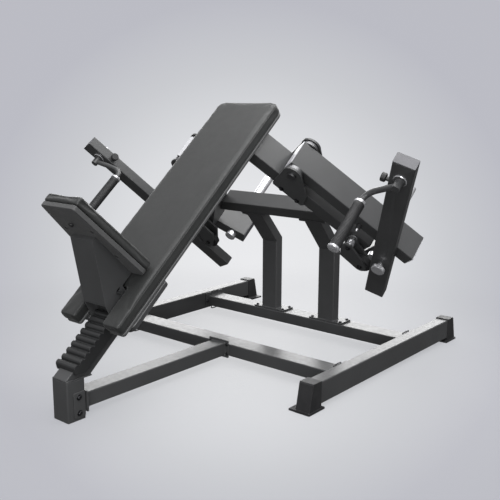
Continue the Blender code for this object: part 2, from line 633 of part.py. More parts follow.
def handle_path(side):
    """Centre line of the handle's bent tube, from the peg down to the grip."""
    peg = arm_point(side, PEG_AT, 0, 0)
    start = Vector((peg.x, PEG_END_Y, peg.z))
    grip = Vector((side * GRIP_AT.x, GRIP_Y[0], -GRIP_AT.y))
    elbow = Vector((grip.x, PEG_END_Y + 0.001, grip.z))
    return start, elbow, grip


def build_handle(side, name, swing):
    """Peg through the arm, flange disc, bent tube and the core that carries the grip."""
    peg = arm_point(side, PEG_AT, 0, 0)
    disc_y, back = ARM_Y[0] - GAP, ARM_Y[1] - WALL - 0.002
    profile = [(0, back), (PEG_RADIUS, back), (PEG_RADIUS, disc_y), (0.024, disc_y),
               (0.0255, disc_y - 0.002), (0.0255, disc_y - 0.006), (0.0165, disc_y - 0.009),
               (0.0165, PEG_END_Y - 0.016), (0.015, PEG_END_Y - 0.018), (0, PEG_END_Y - 0.018)]
    body = turned(f"handle_{name}", profile, PAINT, centre=(peg.x, peg.z), parent=swing)
    start, elbow, grip = handle_path(side)
    end = Vector((grip.x, GRIP_Y[1] + 0.004, grip.z))
    run_in, down = (elbow - start).normalized(), Vector((0, -1, 0))
    steps = [i / BEND_STEPS for i in range(BEND_STEPS + 1)]
    bend = [elbow - run_in * BEND_IN * (1 - t) ** 2 + down * BEND_DOWN * t * t for t in steps]
    tube = swept_tube(f"handle_{name}_tube", [start + run_in * 0.004] + bend + [end],
                      HANDLE_RADIUS, run_in.cross(down), swing)
    return combine(body, 'UNION', tube)


def build_grip(side, name, swing):
    """Rubber sleeve over the handle's core, its outer end closed by the handle's cap."""
    x, z = side * GRIP_AT.x, -GRIP_AT.y
    top, low, inner = GRIP_Y[0] - 0.022, GRIP_Y[1] + 0.012, HANDLE_RADIUS + GAP
    lip = 0.002
    profile = [(inner, top), (GRIP_RADIUS - lip, top), (GRIP_RADIUS, top - lip),
               (GRIP_RADIUS, low + lip), (GRIP_RADIUS - lip, low), (inner, low)]
    turned(f"grip_{name}", profile, RUBBER, centre=(x, z), parent=swing)


def build_carrier(side, name, swing):
    """Cross tube behind the lever's end, and the sleeve that takes the weight plates."""
    low, high = sorted((side * CARRIER_X[0], side * CARRIER_X[1]))
    tube = box_tube(f"weight_carrier_{name}", (CARRIER_Y[0], -CARRIER_RUN[1]),
                    (CARRIER_Y[1], -CARRIER_RUN[0]), "x", (low, high), PAINT, parent=swing)
    centre = (side * SLEEVE_AT.x, -SLEEVE_AT.y)
    hole = cylinder_tool(f"carrier_bore_{name}", centre, 0.0105, 1.0, 1.3, swing)
    beyond = 0.01
    wedge = [(side * CARRIER_X[1], LEVER_Y[1]), (side * CARRIER_MITRE_X, CARRIER_Y[1]),
             (side * CARRIER_MITRE_X, CARRIER_Y[1] + beyond),
             (side * (CARRIER_X[1] + beyond), CARRIER_Y[1] + beyond),
             (side * (CARRIER_X[1] + beyond), LEVER_Y[1])]
    mitre = plate(f"carrier_mitre_{name}", wedge, "z", -0.8, -0.4, PAINT, parent=swing)
    combine(tube, 'DIFFERENCE', hole, mitre)
    start, bolt = CARRIER_Y[1] + GAP, CARRIER_Y[0] - GAP
    profile = [(0, bolt - 0.030), (0.025, bolt - 0.030), (0.028, bolt - 0.027),
               (0.028, bolt), (0.010, bolt), (0.010, start), (0.046, start),
               (0.048, start + 0.002), (0.048, start + 0.006), (0.046, start + 0.008),
               (SLEEVE_RADIUS, start + 0.008), (SLEEVE_RADIUS, SLEEVE_END_Y - 0.003),
               (SLEEVE_RADIUS - 0.003, SLEEVE_END_Y), (0, SLEEVE_END_Y)]
    turned(f"weight_sleeve_{name}", profile, CHROME, centre=centre, parent=swing)


def build_stop(side, name, swing):
    """Bracket at the splayed beam's end that carries the rubber roller the arm rests on."""
    root = [(-0.228, 0.420), (-0.165, 0.386), (-0.130, 0.386), (-0.118, 0.410), (-0.160, 0.505)]
    centre = STOP_AT
    near_outline = root + [tuple(p) for p in arc(centre, STOP_EAR, 15, 185, 10)]
    near_outline = [Vector((side * x, -run)) for x, run in near_outline]
    bracket = plate(f"stop_bracket_{name}", near_outline, "y", *STOP_NEAR_Y, PAINT, parent=swing)
    far = plate(f"stop_far_{name}", near_outline, "y", *STOP_FAR_Y, PAINT, parent=swing)
    end = SPLAY_Y[0] - GAP
    pieces = [far]
    spot = CHROME_SPACER_AT
    pieces.append(cylinder_tool(f"stop_spacer_{name}", (side * spot.x, -spot.y),
                                CHROME_SPACER_RADIUS, STOP_NEAR_Y[1] - 0.004, end, swing))
    pieces.append(cylinder_tool(f"stop_bolt_{name}", (side * centre.x, -centre.y), 0.006,
                                STOP_NEAR_Y[0] - 0.005, STOP_FAR_Y[1] + 0.005, swing))
    combine(bracket, 'UNION', *pieces)
    low, high = STOP_NEAR_Y[1] + GAP, STOP_FAR_Y[0] - GAP
    inner, lip = 0.006 + GAP, 0.003
    profile = [(inner, low), (STOP_RADIUS - lip, low), (STOP_RADIUS, low + lip),
               (STOP_RADIUS, high - lip), (STOP_RADIUS - lip, high), (inner, high)]
    turned(f"stop_roller_{name}", profile, RUBBER, centre=(side * centre.x, -centre.y),
           parent=swing)


# Seat -----------------------------------------------------------------------------------------
def seat_outline(inset=0.0):
    """Tapered seat, wide at the pad."""
    slope = (SEAT_REAR_HALF - SEAT_FRONT_HALF) / SEAT_DEPTH
    back, front = inset, SEAT_DEPTH - inset
    wide, narrow = [SEAT_REAR_HALF - slope * y - inset for y in (back, front)]
    points = [(wide, -back), (narrow, -front), (-narrow, -front), (-wide, -back)]
    return rounded_polygon(points, [0.020, 0.014, 0.014, 0.020])


def build_seat(seat_frame):
    pad = plate("seat_pad", seat_outline(), "z", GAP, SEAT_FOAM, VINYL, parent=seat_frame)
    round_edges(pad, 0.008, 3)
    board = plate("seat_board", seat_outline(0.004), "z", -SEAT_BOARD, 0, BOARD,
                  parent=seat_frame)
    round_edges(board, 0.002)


def seat_under(z):
    """Incline-frame Y of the seat board's underside at incline-frame height z."""
    tilt = math.radians(SEAT_TILT_DEG)
    depth = SEAT_BOARD + GAP
    run = (SEAT_ORIGIN.z - depth * math.cos(tilt) - z) / math.sin(tilt)
    return SEAT_ORIGIN.y - run * math.cos(tilt) + depth * math.sin(tilt)


def build_bracket(incline):
    """Folded sheet bracket: a sloping web, two side plates that straddle the rack, a top."""
    front, rear = 0.240, 0.008
    sheet = BRACKET_SHEET
    outer = [(seat_under(front), front), (0.198, front), (0.070, 0.015), (0.052, -0.060),
             (0.058, -0.106), (0.150, -0.106), (0.172, -0.060), (0.176, rear),
             (seat_under(rear), rear)]
    bracket = plate("seat_carriage", outer, "x", -BRACKET_HALF, BRACKET_HALF, PAINT,
                    parent=incline)
    inner = [(seat_under(front) - sheet, front - sheet - 0.004),
             (0.2015, front - sheet - 0.004), (0.0720, 0.010), (0, 0.010), (0, -0.2),
             (0.25, -0.2), (0.25, rear - 0.001), (seat_under(rear) - sheet, rear)]
    half = BRACKET_HALF - sheet
    cavity = plate("seat_carriage_cavity", inner, "x", -half, half, PAINT, parent=incline)
    pin = cylinder_tool("seat_carriage_pin_bore", LATCH_PIVOT, 0.005 + GAP, -0.1, 0.1, incline,
                        along="x")
    slot = plate("seat_carriage_slot", latch_slot(0.0046), "x", 0.04, 0.08, PAINT,
                 parent=incline)
    combine(bracket, 'DIFFERENCE', cavity, pin, slot)


def latch_slot(half_width):
    """Curved slot that the latch's finger bar travels along."""
    reach = (LATCH_BAR - LATCH_PIVOT).length
    rest = math.degrees(math.atan2(*(LATCH_BAR - LATCH_PIVOT).yx))
    end = rest + LATCH_SWING_DEG
    outer = arc(LATCH_PIVOT, reach + half_width, rest, end, 5)
    inner = arc(LATCH_PIVOT, reach - half_width, end, rest, 5)
    caps = [arc(LATCH_PIVOT, reach, angle, angle, 1)[0] for angle in (rest, end)]
    far = arc(caps[1], half_width, end - 15, end - 165, 4)
    near = arc(caps[0], half_width, rest + 165, rest + 15, 4)
    return outer + far + inner + near


def build_latch(incline):
    """Pawl that drops between two teeth, on a pin through the bracket's side plates, with a
    finger bar that reaches out through the slot."""
    half = BRACKET_HALF - BRACKET_SHEET - 0.003
    valley = RACK_START + TOOTH_PITCH * LATCH_TOOTH + 0.0005
    tip_z = RACK_FRONT - 0.004
    y, z = LATCH_PIVOT
    outline = [(y + 0.008, z - 0.008), (valley + 0.010, tip_z + 0.014), (valley + 0.0014, tip_z),
               (valley - 0.0014, tip_z), (valley - 0.006, tip_z + 0.016), (y - 0.016, z + 0.010),
               (LATCH_BAR.x - 0.007, LATCH_BAR.y), (LATCH_BAR.x - 0.003, LATCH_BAR.y + 0.007),
               (LATCH_BAR.x + 0.006, LATCH_BAR.y + 0.004), (y + 0.008, z + 0.008)]
    latch = plate("seat_latch", outline, "x", -half, half, BLACK, parent=incline)
    pin = cylinder_tool("seat_latch_pin", LATCH_PIVOT, 0.005, -BRACKET_HALF - 0.004,
                        BRACKET_HALF + 0.004, incline, along="x")
    bar = cylinder_tool("seat_latch_bar", LATCH_BAR, 0.004, 0.0, BRACKET_HALF + 0.028, incline,
                        along="x", steps=16)
    knob = cylinder_tool("seat_latch_knob", LATCH_BAR, 0.0045, BRACKET_HALF + 0.005,
                         BRACKET_HALF + 0.030, incline, along="x", steps=16)
    return combine(latch, 'UNION', pin, bar, knob)


# Assembly -------------------------------------------------------------------------------------
clear_scene()
PAINT, BLACK, VINYL, BOARD, RUBBER, PLASTIC, CAP, CHROME = [make_material(name) for name in (
    "frame_paint", "black_paint", "vinyl", "board", "rubber", "plastic", "cap_grey", "chrome")]

machine = frame_empty("machine", (0, CENTRE_SHIFT_Y, 0))
incline_frame = frame_empty("incline_frame", INCLINE_ORIGIN, (math.radians(INCLINE_DEG), 0, 0),
                            machine)
seat_frame = frame_empty("seat_frame", SEAT_ORIGIN, (math.radians(SEAT_TILT_DEG), 0, 0),
                         incline_frame)

build_cross_member("front_cross_member", FRONT_CROSS_Y)
build_cross_member("rear_cross_member", REAR_CROSS_Y)
build_spine()
build_post()
build_main_beam(incline_frame)
build_rack(incline_frame)
build_back_pad(incline_frame)
build_crossbar(incline_frame)
build_seat(seat_frame)
build_bracket(incline_frame)
build_latch(incline_frame)

for side, name in ((1, "right"), (-1, "left")):
    swing_frame = frame_empty(f"swing_frame_{name}", (side * PIVOT_X, 0, PIVOT_Z),
                              (0, -side * math.radians(SPLAY_DEG), 0), incline_frame)
    build_rail(side, name)
    build_foot(side, True, f"front_{name}")
    build_foot(side, False, f"rear_{name}")
    build_wing(side, name, incline_frame)
    build_upright(side, name)
    build_head_gusset(side, name, incline_frame)
    build_splay_beam(side, name, swing_frame)
    pivot_bore = build_pivot(side, name, swing_frame)
    build_lever(side, name, swing_frame, pivot_bore)
    build_arm(side, name, swing_frame)
    build_arm_knob(side, name, swing_frame)
    build_pull_pin(side, name, swing_frame)
    build_handle(side, name, swing_frame)
    build_grip(side, name, swing_frame)
    build_carrier(side, name, swing_frame)
    build_stop(side, name, swing_frame)
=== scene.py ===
"""Looks for the incline chest-fly bench: paint, padding, grips, bolts, caps, floor and light,
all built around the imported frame. Metres, +Z up; the machine's front post points to -Y."""

import json
import math

import bmesh
import bpy
from mathutils import Matrix, Vector


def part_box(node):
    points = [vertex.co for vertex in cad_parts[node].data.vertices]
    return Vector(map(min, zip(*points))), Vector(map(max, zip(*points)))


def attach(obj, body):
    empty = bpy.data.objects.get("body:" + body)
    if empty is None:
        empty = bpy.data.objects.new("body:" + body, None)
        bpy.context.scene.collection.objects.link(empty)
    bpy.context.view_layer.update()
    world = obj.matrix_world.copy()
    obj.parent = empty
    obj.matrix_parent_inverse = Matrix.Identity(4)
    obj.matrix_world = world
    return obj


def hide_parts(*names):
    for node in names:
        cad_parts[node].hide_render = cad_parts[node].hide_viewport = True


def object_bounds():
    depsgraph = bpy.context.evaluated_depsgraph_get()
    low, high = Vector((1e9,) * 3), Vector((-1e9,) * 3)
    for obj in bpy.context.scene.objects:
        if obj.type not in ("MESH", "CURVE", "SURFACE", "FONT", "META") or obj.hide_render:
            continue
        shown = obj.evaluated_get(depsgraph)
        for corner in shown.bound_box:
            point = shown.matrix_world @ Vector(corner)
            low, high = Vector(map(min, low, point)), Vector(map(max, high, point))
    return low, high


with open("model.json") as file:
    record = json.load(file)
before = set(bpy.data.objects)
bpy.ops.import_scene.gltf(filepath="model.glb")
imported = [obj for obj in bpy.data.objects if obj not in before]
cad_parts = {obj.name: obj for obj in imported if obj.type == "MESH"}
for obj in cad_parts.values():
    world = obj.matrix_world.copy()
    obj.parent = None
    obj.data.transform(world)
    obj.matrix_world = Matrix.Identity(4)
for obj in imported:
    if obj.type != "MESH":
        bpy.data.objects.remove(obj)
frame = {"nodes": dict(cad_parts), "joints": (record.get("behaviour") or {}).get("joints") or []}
nodes = frame["nodes"]
joints = {joint["name"]: joint for joint in frame["joints"]}
cad_low, cad_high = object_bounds()
scene = bpy.context.scene

# Shared measures ------------------------------------------------------------------------------
# Each lever has a swing frame: X outwards from the pivot, Y up the pad, and a run back along it.
SIDES = ((1, "right"), (-1, "left"))
EDGE, CAP_EDGE = 0.0014, 0.0012                 # how far painted edges and caps are eased
EASE_ANGLE, SHARP = math.radians(38), math.radians(35)
JOIN_DISTANCE = 0.00002         # corners nearer than that are one
SPLAY = math.radians(35.44)     # how far each lever's plane turns outwards
NEAR_PLATE_Y, FAR_PLATE_Y = 0.962, 1.147        # outer faces of the pivot plates, up the pad
LEVER_X, LEVER_Y, LEVER_RUN = (-0.036, 0.031), (0.992, 1.120), (-0.037, 0.635)
SPLAY_X, SPLAY_Y, SPLAY_END = (-0.192, -0.117), (1.006, 1.137), 0.487
ARM_TOP, ARM_END = Vector((0.534, 0.234)), Vector((-0.316, 0.683))
ARM_Y, ARM_HALF = (0.941, 0.9915), 0.045
CARRIER_X, CARRIER_Y, CARRIER_RUN = (-0.343, -0.0363), (1.091, 1.215), (0.543, 0.618)
CARRIER_MITRE_X = -0.103
SLEEVE_AT, SLEEVE_END_Y = Vector((-0.275, 0.581)), 1.530
STOP_AT, STOP_SPACER_AT, STOP_FACES = Vector((-0.208, 0.523)), Vector((-0.143, 0.412)), (0.942, 0.995)
GRIP_AT, GRIP_Y, CORE_RADIUS = Vector((0.303, 0.228)), (0.853, 0.634), 0.0125
GRIP_RADIUS = 0.0225
PEG_AT = 0.082                  # along the arm from its top
BEAM_HALF, BEAM_Z, BEAM_TOP = 0.040, (-0.140, -0.064), 1.137
SEAT_TILT = math.radians(-85.04)                # the seat's face against the pad's
PAD_SHRINK, PAD_PRESSURE, PAD_STEPS = 0.002, 4.0, 20
HELD_DEPTH = 0.8                # in voxels: a pad is held flat where it lies this near its board
STILL = 1e-7                    # a point that moved less than this is left alone
SEAM_DEPTH, PIPING_RADIUS = 0.0117, 0.0016      # the seam lies that far behind a pad's face
WELD_RADIUS, WELD_RIPPLE, WELD_CORNER, WELD_SPACING = 0.0028, 0.16, 0.005, 0.004
CAP_THICKNESS, CAP_INSET, CAP_CORNER = 0.004, 0.0004, 0.004
CAP_PLUG, CAP_WALL, PLUG_CORNER, PLUG_OVERLAP = 0.018, 0.0052, 0.002, 0.0005
SEAT_CUP_X, SEAT_CUPS_FROM_FRONT, SEAT_KNOB_FROM_FRONT = 0.076, (0.135, 0.287), 0.095


# The studio -----------------------------------------------------------------------------------
CAMERA_AT = Vector((2.2208, -2.51144, 1.1679))
LOOK = Vector((-0.6296, 0.7527, -0.1927)).normalized()
CAMERA_ROLL, LENS, SENSOR = math.radians(0.19), 54.07, 36      # lens and sensor in millimetres
BRIGHT_SPOT_DROP = 0.03         # the backdrop's glow, a painted pool of light, is palest just below the middle of the view
BACKDROP_RADIUS, BACKDROP_SPREAD = 30, math.radians(40)
# Glow colours of the backdrop, outwards from its painted bright spot.
BACKDROP_GLOW_TONES = ((0.0, (0.83, 0.835, 0.855)), (0.14, (0.80, 0.807, 0.825)), (0.30, (0.70, 0.71, 0.735)),
                  (0.42, (0.59, 0.60, 0.63)), (0.56, (0.50, 0.505, 0.555)), (1.0, (0.50, 0.50, 0.545)))
SKY_TONES = ((0.0, 0.05), (0.46, 0.12), (0.54, 0.38), (0.72, 0.55), (1.0, 0.80))
SKY_BLUE = 1.02                 # the sky's blue against its red and green
# The floor's colour is painted lighter near the machine and darker outwards over the given span: a painted
# pool of light.
FLOOR_LIGHT_POOL_TONES = (0.54, 0.54, 0.55), (0.22, 0.223, 0.235)
FLOOR_CLEAR = 0.74              # how much of the backdrop shows through, which keeps shadows faint
FLOOR_GAP = 0.0005              # below the feet
FLOOR_RADIUS, FLOOR_FADE, FLOOR_LIGHT_POOL_SPAN = 2.5, (0.9, 2.3), (0.2, 2.0)


# Frames of reference --------------------------------------------------------------------------
def reach(node, axis):
    """Lowest and highest place of a CAD node along an axis."""
    places = [vertex.co.dot(axis) for vertex in nodes[node].data.vertices]
    return min(places), max(places)


def axes_matrix(across, along, out, origin):
    """A placement from its three axes and its origin."""
    place = Matrix((across, along, out)).transposed().to_4x4()
    place.translation = origin
    return place


UP_PAD = Vector(joints["seat_slide"]["axis"]).normalized()
ACROSS = Vector((1, 0, 0))
OUT = ACROSS.cross(UP_PAD)
pad_start = reach("back_pad", UP_PAD)[0]
incline = axes_matrix(ACROSS, UP_PAD, OUT, UP_PAD * pad_start + OUT * reach("back_pad", OUT)[1])
swings = {}
for side, name in SIDES:
    pivot = Vector(joints[f"lever_swing_{name}"]["pos_m"])
    turned_frame = incline @ Matrix.Rotation(-side * SPLAY, 4, 'Y')
    turned_frame.translation = pivot - UP_PAD * (pivot.dot(UP_PAD) - pad_start)
    swings[side] = turned_frame


def facing(point, normal):
    """A placement whose Z points along the normal."""
    return Matrix.Translation(point) @ normal.to_track_quat('Z', 'Y').to_matrix().to_4x4()


def swing_facing(side, x, y, run, normal):
    """A placement in a swing frame: outwards, up the pad, back along the lever."""
    turned = Vector((side * normal[0], normal[1], -normal[2]))
    local = facing(Vector((side * x, y, -run)), turned)
    return swings[side] @ local


def incline_facing(x, y, z, normal):
    """A placement on the inclined frame: across, up the pad, out of its face."""
    return incline @ facing(Vector((x, y, z)), Vector(normal))


def arm_frame(side, distance):
    """X across the arm, Y up the pad, Z back along the arm, in the world."""
    along = (ARM_END - ARM_TOP).normalized()
    spot = ARM_TOP + along * distance
    back = Vector((side * along.x, 0, -along.y))
    up = Vector((0, 1, 0))
    return swings[side] @ axes_matrix(up.cross(back), up, back, Vector((side * spot.x, 0, -spot.y)))


# Materials ------------------------------------------------------------------------------------
class Graph:
    """Short names for adding and joining shader nodes."""

    def __init__(self, name):
        self.material = bpy.data.materials.new(name)
        self.material.use_nodes = True
        self.tree = self.material.node_tree
        self.shader = self.tree.nodes["Principled BSDF"]
        self.place = self.add("ShaderNodeTexCoord").outputs["Object"]

    def add(self, kind, **settings):
        node = self.tree.nodes.new(kind)
        for key, value in settings.items():
            setattr(node, key, value)
        return node

    def join(self, start, end):
        self.tree.links.new(start, end)

    def noise(self, scale, detail=3.0, roughness=0.5, stretch=None):
        node = self.add("ShaderNodeTexNoise")
        node.inputs["Scale"].default_value = scale
        node.inputs["Detail"].default_value = detail
        node.inputs["Roughness"].default_value = roughness
        self.join(self.stretched(stretch), node.inputs["Vector"])
        return node.outputs["Fac"]

    def stretched(self, stretch):
        if stretch is None:
            return self.place
        node = self.add("ShaderNodeMapping")
        node.inputs["Scale"].default_value = stretch
        self.join(self.place, node.inputs["Vector"])
        return node.outputs["Vector"]

    def cells(self, scale):
        node = self.add("ShaderNodeTexVoronoi", feature='DISTANCE_TO_EDGE')
        node.inputs["Scale"].default_value = scale
        self.join(self.place, node.inputs["Vector"])
        return node.outputs["Distance"]

    def ranged(self, value, low, high, to_low, to_high):
        node = self.add("ShaderNodeMapRange")
        for key, number in (("From Min", low), ("From Max", high),
                            ("To Min", to_low), ("To Max", to_high)):
            node.inputs[key].default_value = number
        self.join(value, node.inputs["Value"])
        return node.outputs["Result"]

    def maths(self, operation, first, second):
        node = self.add("ShaderNodeMath", operation=operation)
        for socket, value in zip(node.inputs, (first, second)):
            if isinstance(value, (int, float)):
                socket.default_value = value
            else:
                self.join(value, socket)
        return node.outputs["Value"]

    def mix(self, share, first, second):
        node = self.add("ShaderNodeMix", data_type='RGBA')
        self.join(share, node.inputs["Factor"])
        for socket, colour in ((node.inputs[6], first), (node.inputs[7], second)):
            if isinstance(colour, tuple):
                socket.default_value = (*colour, 1)
            else:
                self.join(colour, socket)
        return node.outputs[2]

    def bump(self, height, distance, strength=1.0, under=None):
        node = self.add("ShaderNodeBump")
        node.inputs["Distance"].default_value = distance
        node.inputs["Strength"].default_value = strength
        self.join(height, node.inputs["Height"])
        if under:
            self.join(under, node.inputs["Normal"])
        return node.outputs["Normal"]

    def edges(self, radius):
        """1 on sharp edges, falling to 0 on flat faces."""
        rounded = self.add("ShaderNodeBevel", samples=4)
        rounded.inputs["Radius"].default_value = radius
        flat = self.add("ShaderNodeNewGeometry").outputs["Normal"]
        dot = self.add("ShaderNodeVectorMath", operation='DOT_PRODUCT')
        self.join(rounded.outputs["Normal"], dot.inputs[0])
        self.join(flat, dot.inputs[1])
        return self.ranged(dot.outputs["Value"], 0.995, 0.86, 0.0, 1.0)

    def set(self, **values):
        for key, value in values.items():
            socket = self.shader.inputs[key.replace("_", " ")]
            if isinstance(value, bpy.types.NodeSocket):
                self.join(value, socket)
            else:
                socket.default_value = (*value, 1) if isinstance(value, tuple) else value


def powder_coat(name, dark, light, worn_and_lit_tone, roughness):
    """Satin powder coat: orange-peel skin, cloudy tone, and edges mixed towards a paler tone, partly rubbed
    wear and partly a painted highlight.
    """
    graph = Graph(name)
    cloud = graph.noise(5.0, 4.0)
    tone = graph.mix(graph.ranged(cloud, 0.35, 0.65, 0, 1), dark, light)
    # Edges are painted paler: partly rubbed wear, partly a painted highlight along the edges.
    rubbed_and_lit_edges = graph.maths('MULTIPLY', graph.edges(0.0022), graph.ranged(graph.noise(45), 0.4, 0.7, 0.1, 0.8))
    graph.set(Base_Color=graph.mix(rubbed_and_lit_edges, tone, worn_and_lit_tone), Metallic=0.0, Specular_IOR_Level=0.62)
    satin = graph.ranged(graph.noise(70, 2.0), 0.3, 0.7, roughness - 0.04, roughness + 0.05)
    graph.set(Roughness=satin)
    graph.set(Normal=graph.bump(graph.noise(900, 2.0, 0.6), 0.00006, 0.6))
    return graph.material


def leatherette(name, dark, light, roughness):
    """Upholstery vinyl with a fine pebbled grain, painted shade in its creases, and a soft sheen."""
    graph = Graph(name)
    pebble = graph.ranged(graph.cells(620), 0.0, 0.25, 0.0, 1.0)
    tone = graph.mix(graph.ranged(graph.noise(9, 4.0), 0.3, 0.7, 0, 1), dark, light)
    # The creases between the pebbles are darkened: painted shade in the grain.
    crease_shade = graph.ranged(pebble, 0.0, 0.6, 0.22, 0.0)
    graph.set(Base_Color=graph.mix(crease_shade, tone, tuple(0.5 * value for value in dark)))
    graph.set(Roughness=graph.ranged(graph.noise(25, 3.0), 0.3, 0.7, roughness - 0.05, roughness + 0.06))
    graph.set(Specular_IOR_Level=0.5, Sheen_Weight=0.12, Sheen_Roughness=0.4)
    broad = graph.bump(graph.noise(60, 3.0), 0.0005, 0.35)
    graph.set(Normal=graph.bump(pebble, 0.00014, 0.7, broad))
    return graph.material


def moulded(name, dark, light, roughness):
    """Moulded plastic or rubber with a fine spark-eroded texture and edges painted paler as a painted
    highlight.
    """
    graph = Graph(name)
    tone = graph.mix(graph.ranged(graph.noise(18, 4.0), 0.35, 0.65, 0, 1), dark, light)
    # Edges are mixed towards a paler tone: a painted highlight.
    graph.set(Base_Color=graph.mix(graph.maths('MULTIPLY', graph.edges(0.0016), 0.35), tone,
                                   tuple(min(1, 1.8 * value + 0.02) for value in light)))
    graph.set(Roughness=graph.ranged(graph.noise(50, 3.0), 0.3, 0.7, roughness - 0.06, roughness + 0.06))
    graph.set(Normal=graph.bump(graph.noise(700, 2.0, 0.7), 0.00008, 0.8))
    return graph.material


def plated(name, tone, dull, roughness, metallic=1.0):
    """Chrome or zinc plate: polished, with faint turning lines and haze."""
    graph = Graph(name)
    haze = graph.noise(30, 5.0, 0.6)
    graph.set(Base_Color=graph.mix(graph.ranged(haze, 0.35, 0.7, 0, 1), tone, dull), Metallic=metallic)
    graph.set(Roughness=graph.ranged(haze, 0.3, 0.75, roughness, roughness + 0.12))
    lines = graph.noise(400, 2.0, 0.5, (0.2, 1.0, 1.0))
    graph.set(Normal=graph.bump(lines, 0.00002, 0.4))
    return graph.material


finishes = {
    # The third colour of each powder coat is its paler edge tone: rubbed wear and a painted highlight.
    "frame_paint": powder_coat("satin_charcoal_paint", (0.046, 0.0468, 0.0475), (0.055, 0.0558, 0.057),
                               (0.13, 0.13, 0.135), 0.33),
    "black_paint": powder_coat("satin_black_paint", (0.014, 0.0145, 0.015), (0.020, 0.0205, 0.021),
                               (0.07, 0.07, 0.072), 0.42),
    "vinyl": leatherette("black_leatherette", (0.020, 0.021, 0.0205), (0.026, 0.027, 0.0265), 0.46),
    "board": leatherette("board_wrap", (0.060, 0.0605, 0.061), (0.072, 0.0725, 0.073), 0.50),
    "rubber": moulded("black_rubber", (0.012, 0.012, 0.013), (0.019, 0.019, 0.020), 0.62),
    "plastic": moulded("black_plastic", (0.014, 0.014, 0.015), (0.021, 0.021, 0.022), 0.48),
    "cap_grey": moulded("grey_plastic", (0.088, 0.088, 0.096), (0.108, 0.108, 0.117), 0.45),
    "chrome": plated("polished_chrome", (0.82, 0.82, 0.84), (0.70, 0.70, 0.73), 0.14, 0.72),
}
pale_plastic = moulded("pale_grey_plastic", (0.40, 0.40, 0.42), (0.46, 0.46, 0.48), 0.42)
satin_steel = plated("satin_steel", (0.20, 0.20, 0.205), (0.15, 0.15, 0.155), 0.36)
dark_bolt = plated("blackened_steel", (0.060, 0.060, 0.064), (0.035, 0.035, 0.038), 0.34)

SATIN_NODES = ("pivot_shaft", "bearing")
EASED = ("frame_paint", "black_paint", "board", "plastic", "cap_grey")
for node_name, node in nodes.items():
    slot_name = node.material_slots[0].material.name.split(".")[0]
    for slot in node.material_slots:
        slot.material = satin_steel if node_name.startswith(SATIN_NODES) else finishes[slot_name]
    if slot_name in EASED:
        weld = node.modifiers.new("join_corners", 'WELD')
        weld.merge_threshold = JOIN_DISTANCE
        ease = node.modifiers.new("ease_edges", 'BEVEL')
        ease.width = EDGE
        ease.segments = 2
        ease.limit_method = 'ANGLE'
        ease.angle_limit = EASE_ANGLE
        ease.harden_normals = True


# Mesh making ----------------------------------------------------------------------------------
def lathe(shape, place, profile, steps=40, closed=False):
    """A turned form about the placement's Z; profile holds (radius, height) pairs.
    Closed joins the last ring to the first, for a form with a hole through it."""
    rings = []
    for radius, height in profile:
        angles = [2 * math.pi * step / steps for step in range(steps)] if radius else [0]
        rings.append([shape.verts.new(place @ Vector((radius * math.cos(a), radius * math.sin(a), height)))
                      for a in angles])
    pairs = list(zip(rings, rings[1:])) + ([(rings[-1], rings[0])] if closed else [])
    for here, there in pairs:
        for step in range(steps):
            after = (step + 1) % steps
            corners = [here[step % len(here)], here[after % len(here)],
                       there[after % len(there)], there[step % len(there)]]
            shape.faces.new(list(dict.fromkeys(corners)))


def prism(shape, place, outline, low, high):
    """An outline in the placement's XY plane, extruded along its Z."""
    lower, upper = [[shape.verts.new(place @ Vector((x, y, z))) for x, y in outline]
                    for z in (low, high)]
    count = len(outline)
    for step in range(count):
        after = (step + 1) % count
        shape.faces.new((lower[step], lower[after], upper[after], upper[step]))
    shape.faces.new(lower)
    shape.faces.new(upper)


def rounded_box(half_x, half_y, radius, steps=4):
    """Rectangle outline with round corners, about the origin."""
    outline = []
    for turn, (sx, sy) in enumerate(((1, 1), (-1, 1), (-1, -1), (1, -1))):
        for step in range(steps + 1):
            angle = math.pi / 2 * (turn + step / steps)
            outline.append((sx * (half_x - radius) + radius * math.cos(angle),
                            sy * (half_y - radius) + radius * math.sin(angle)))
    return outline


def sweep(shape, points, plane_normal, radius, ripple=0.0, steps=8):
    """A bead along a closed, flat loop; a ripple gives it a weld's scales."""
    rings = []
    count = len(points)
    for index, point in enumerate(points):
        ahead = (points[(index + 1) % count] - points[index - 1]).normalized()
        across = ahead.cross(plane_normal)
        size = radius * (1 + ripple * (1 if index % 2 else -1))
        rings.append([shape.verts.new(point + plane_normal * size * math.cos(a) + across * size * math.sin(a))
                      for a in (2 * math.pi * step / steps for step in range(steps))])
    for index in range(count):
        here, there = rings[index], rings[(index + 1) % count]
        for step in range(steps):
            after = (step + 1) % steps
            shape.faces.new((here[step], here[after], there[after], there[step]))


def make_piece(name, shape, finish, body, bevel=0.0, sharp=SHARP):
    """Turn a finished shape into a visible piece that rides on a body."""
    bmesh.ops.recalc_face_normals(shape, faces=shape.faces)
    mesh = bpy.data.meshes.new(name)
    shape.to_mesh(mesh)
    shape.free()
    mesh.materials.append(finish)
    mesh.shade_smooth()
    mesh.set_sharp_from_angle(angle=sharp)
    piece = bpy.data.objects.new(name, mesh)
    scene.collection.objects.link(piece)
    if bevel:
        ease = piece.modifiers.new("ease_edges", 'BEVEL')
        ease.width = bevel
        ease.segments = 2
        ease.limit_method = 'ANGLE'
    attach(piece, body)
    return piece


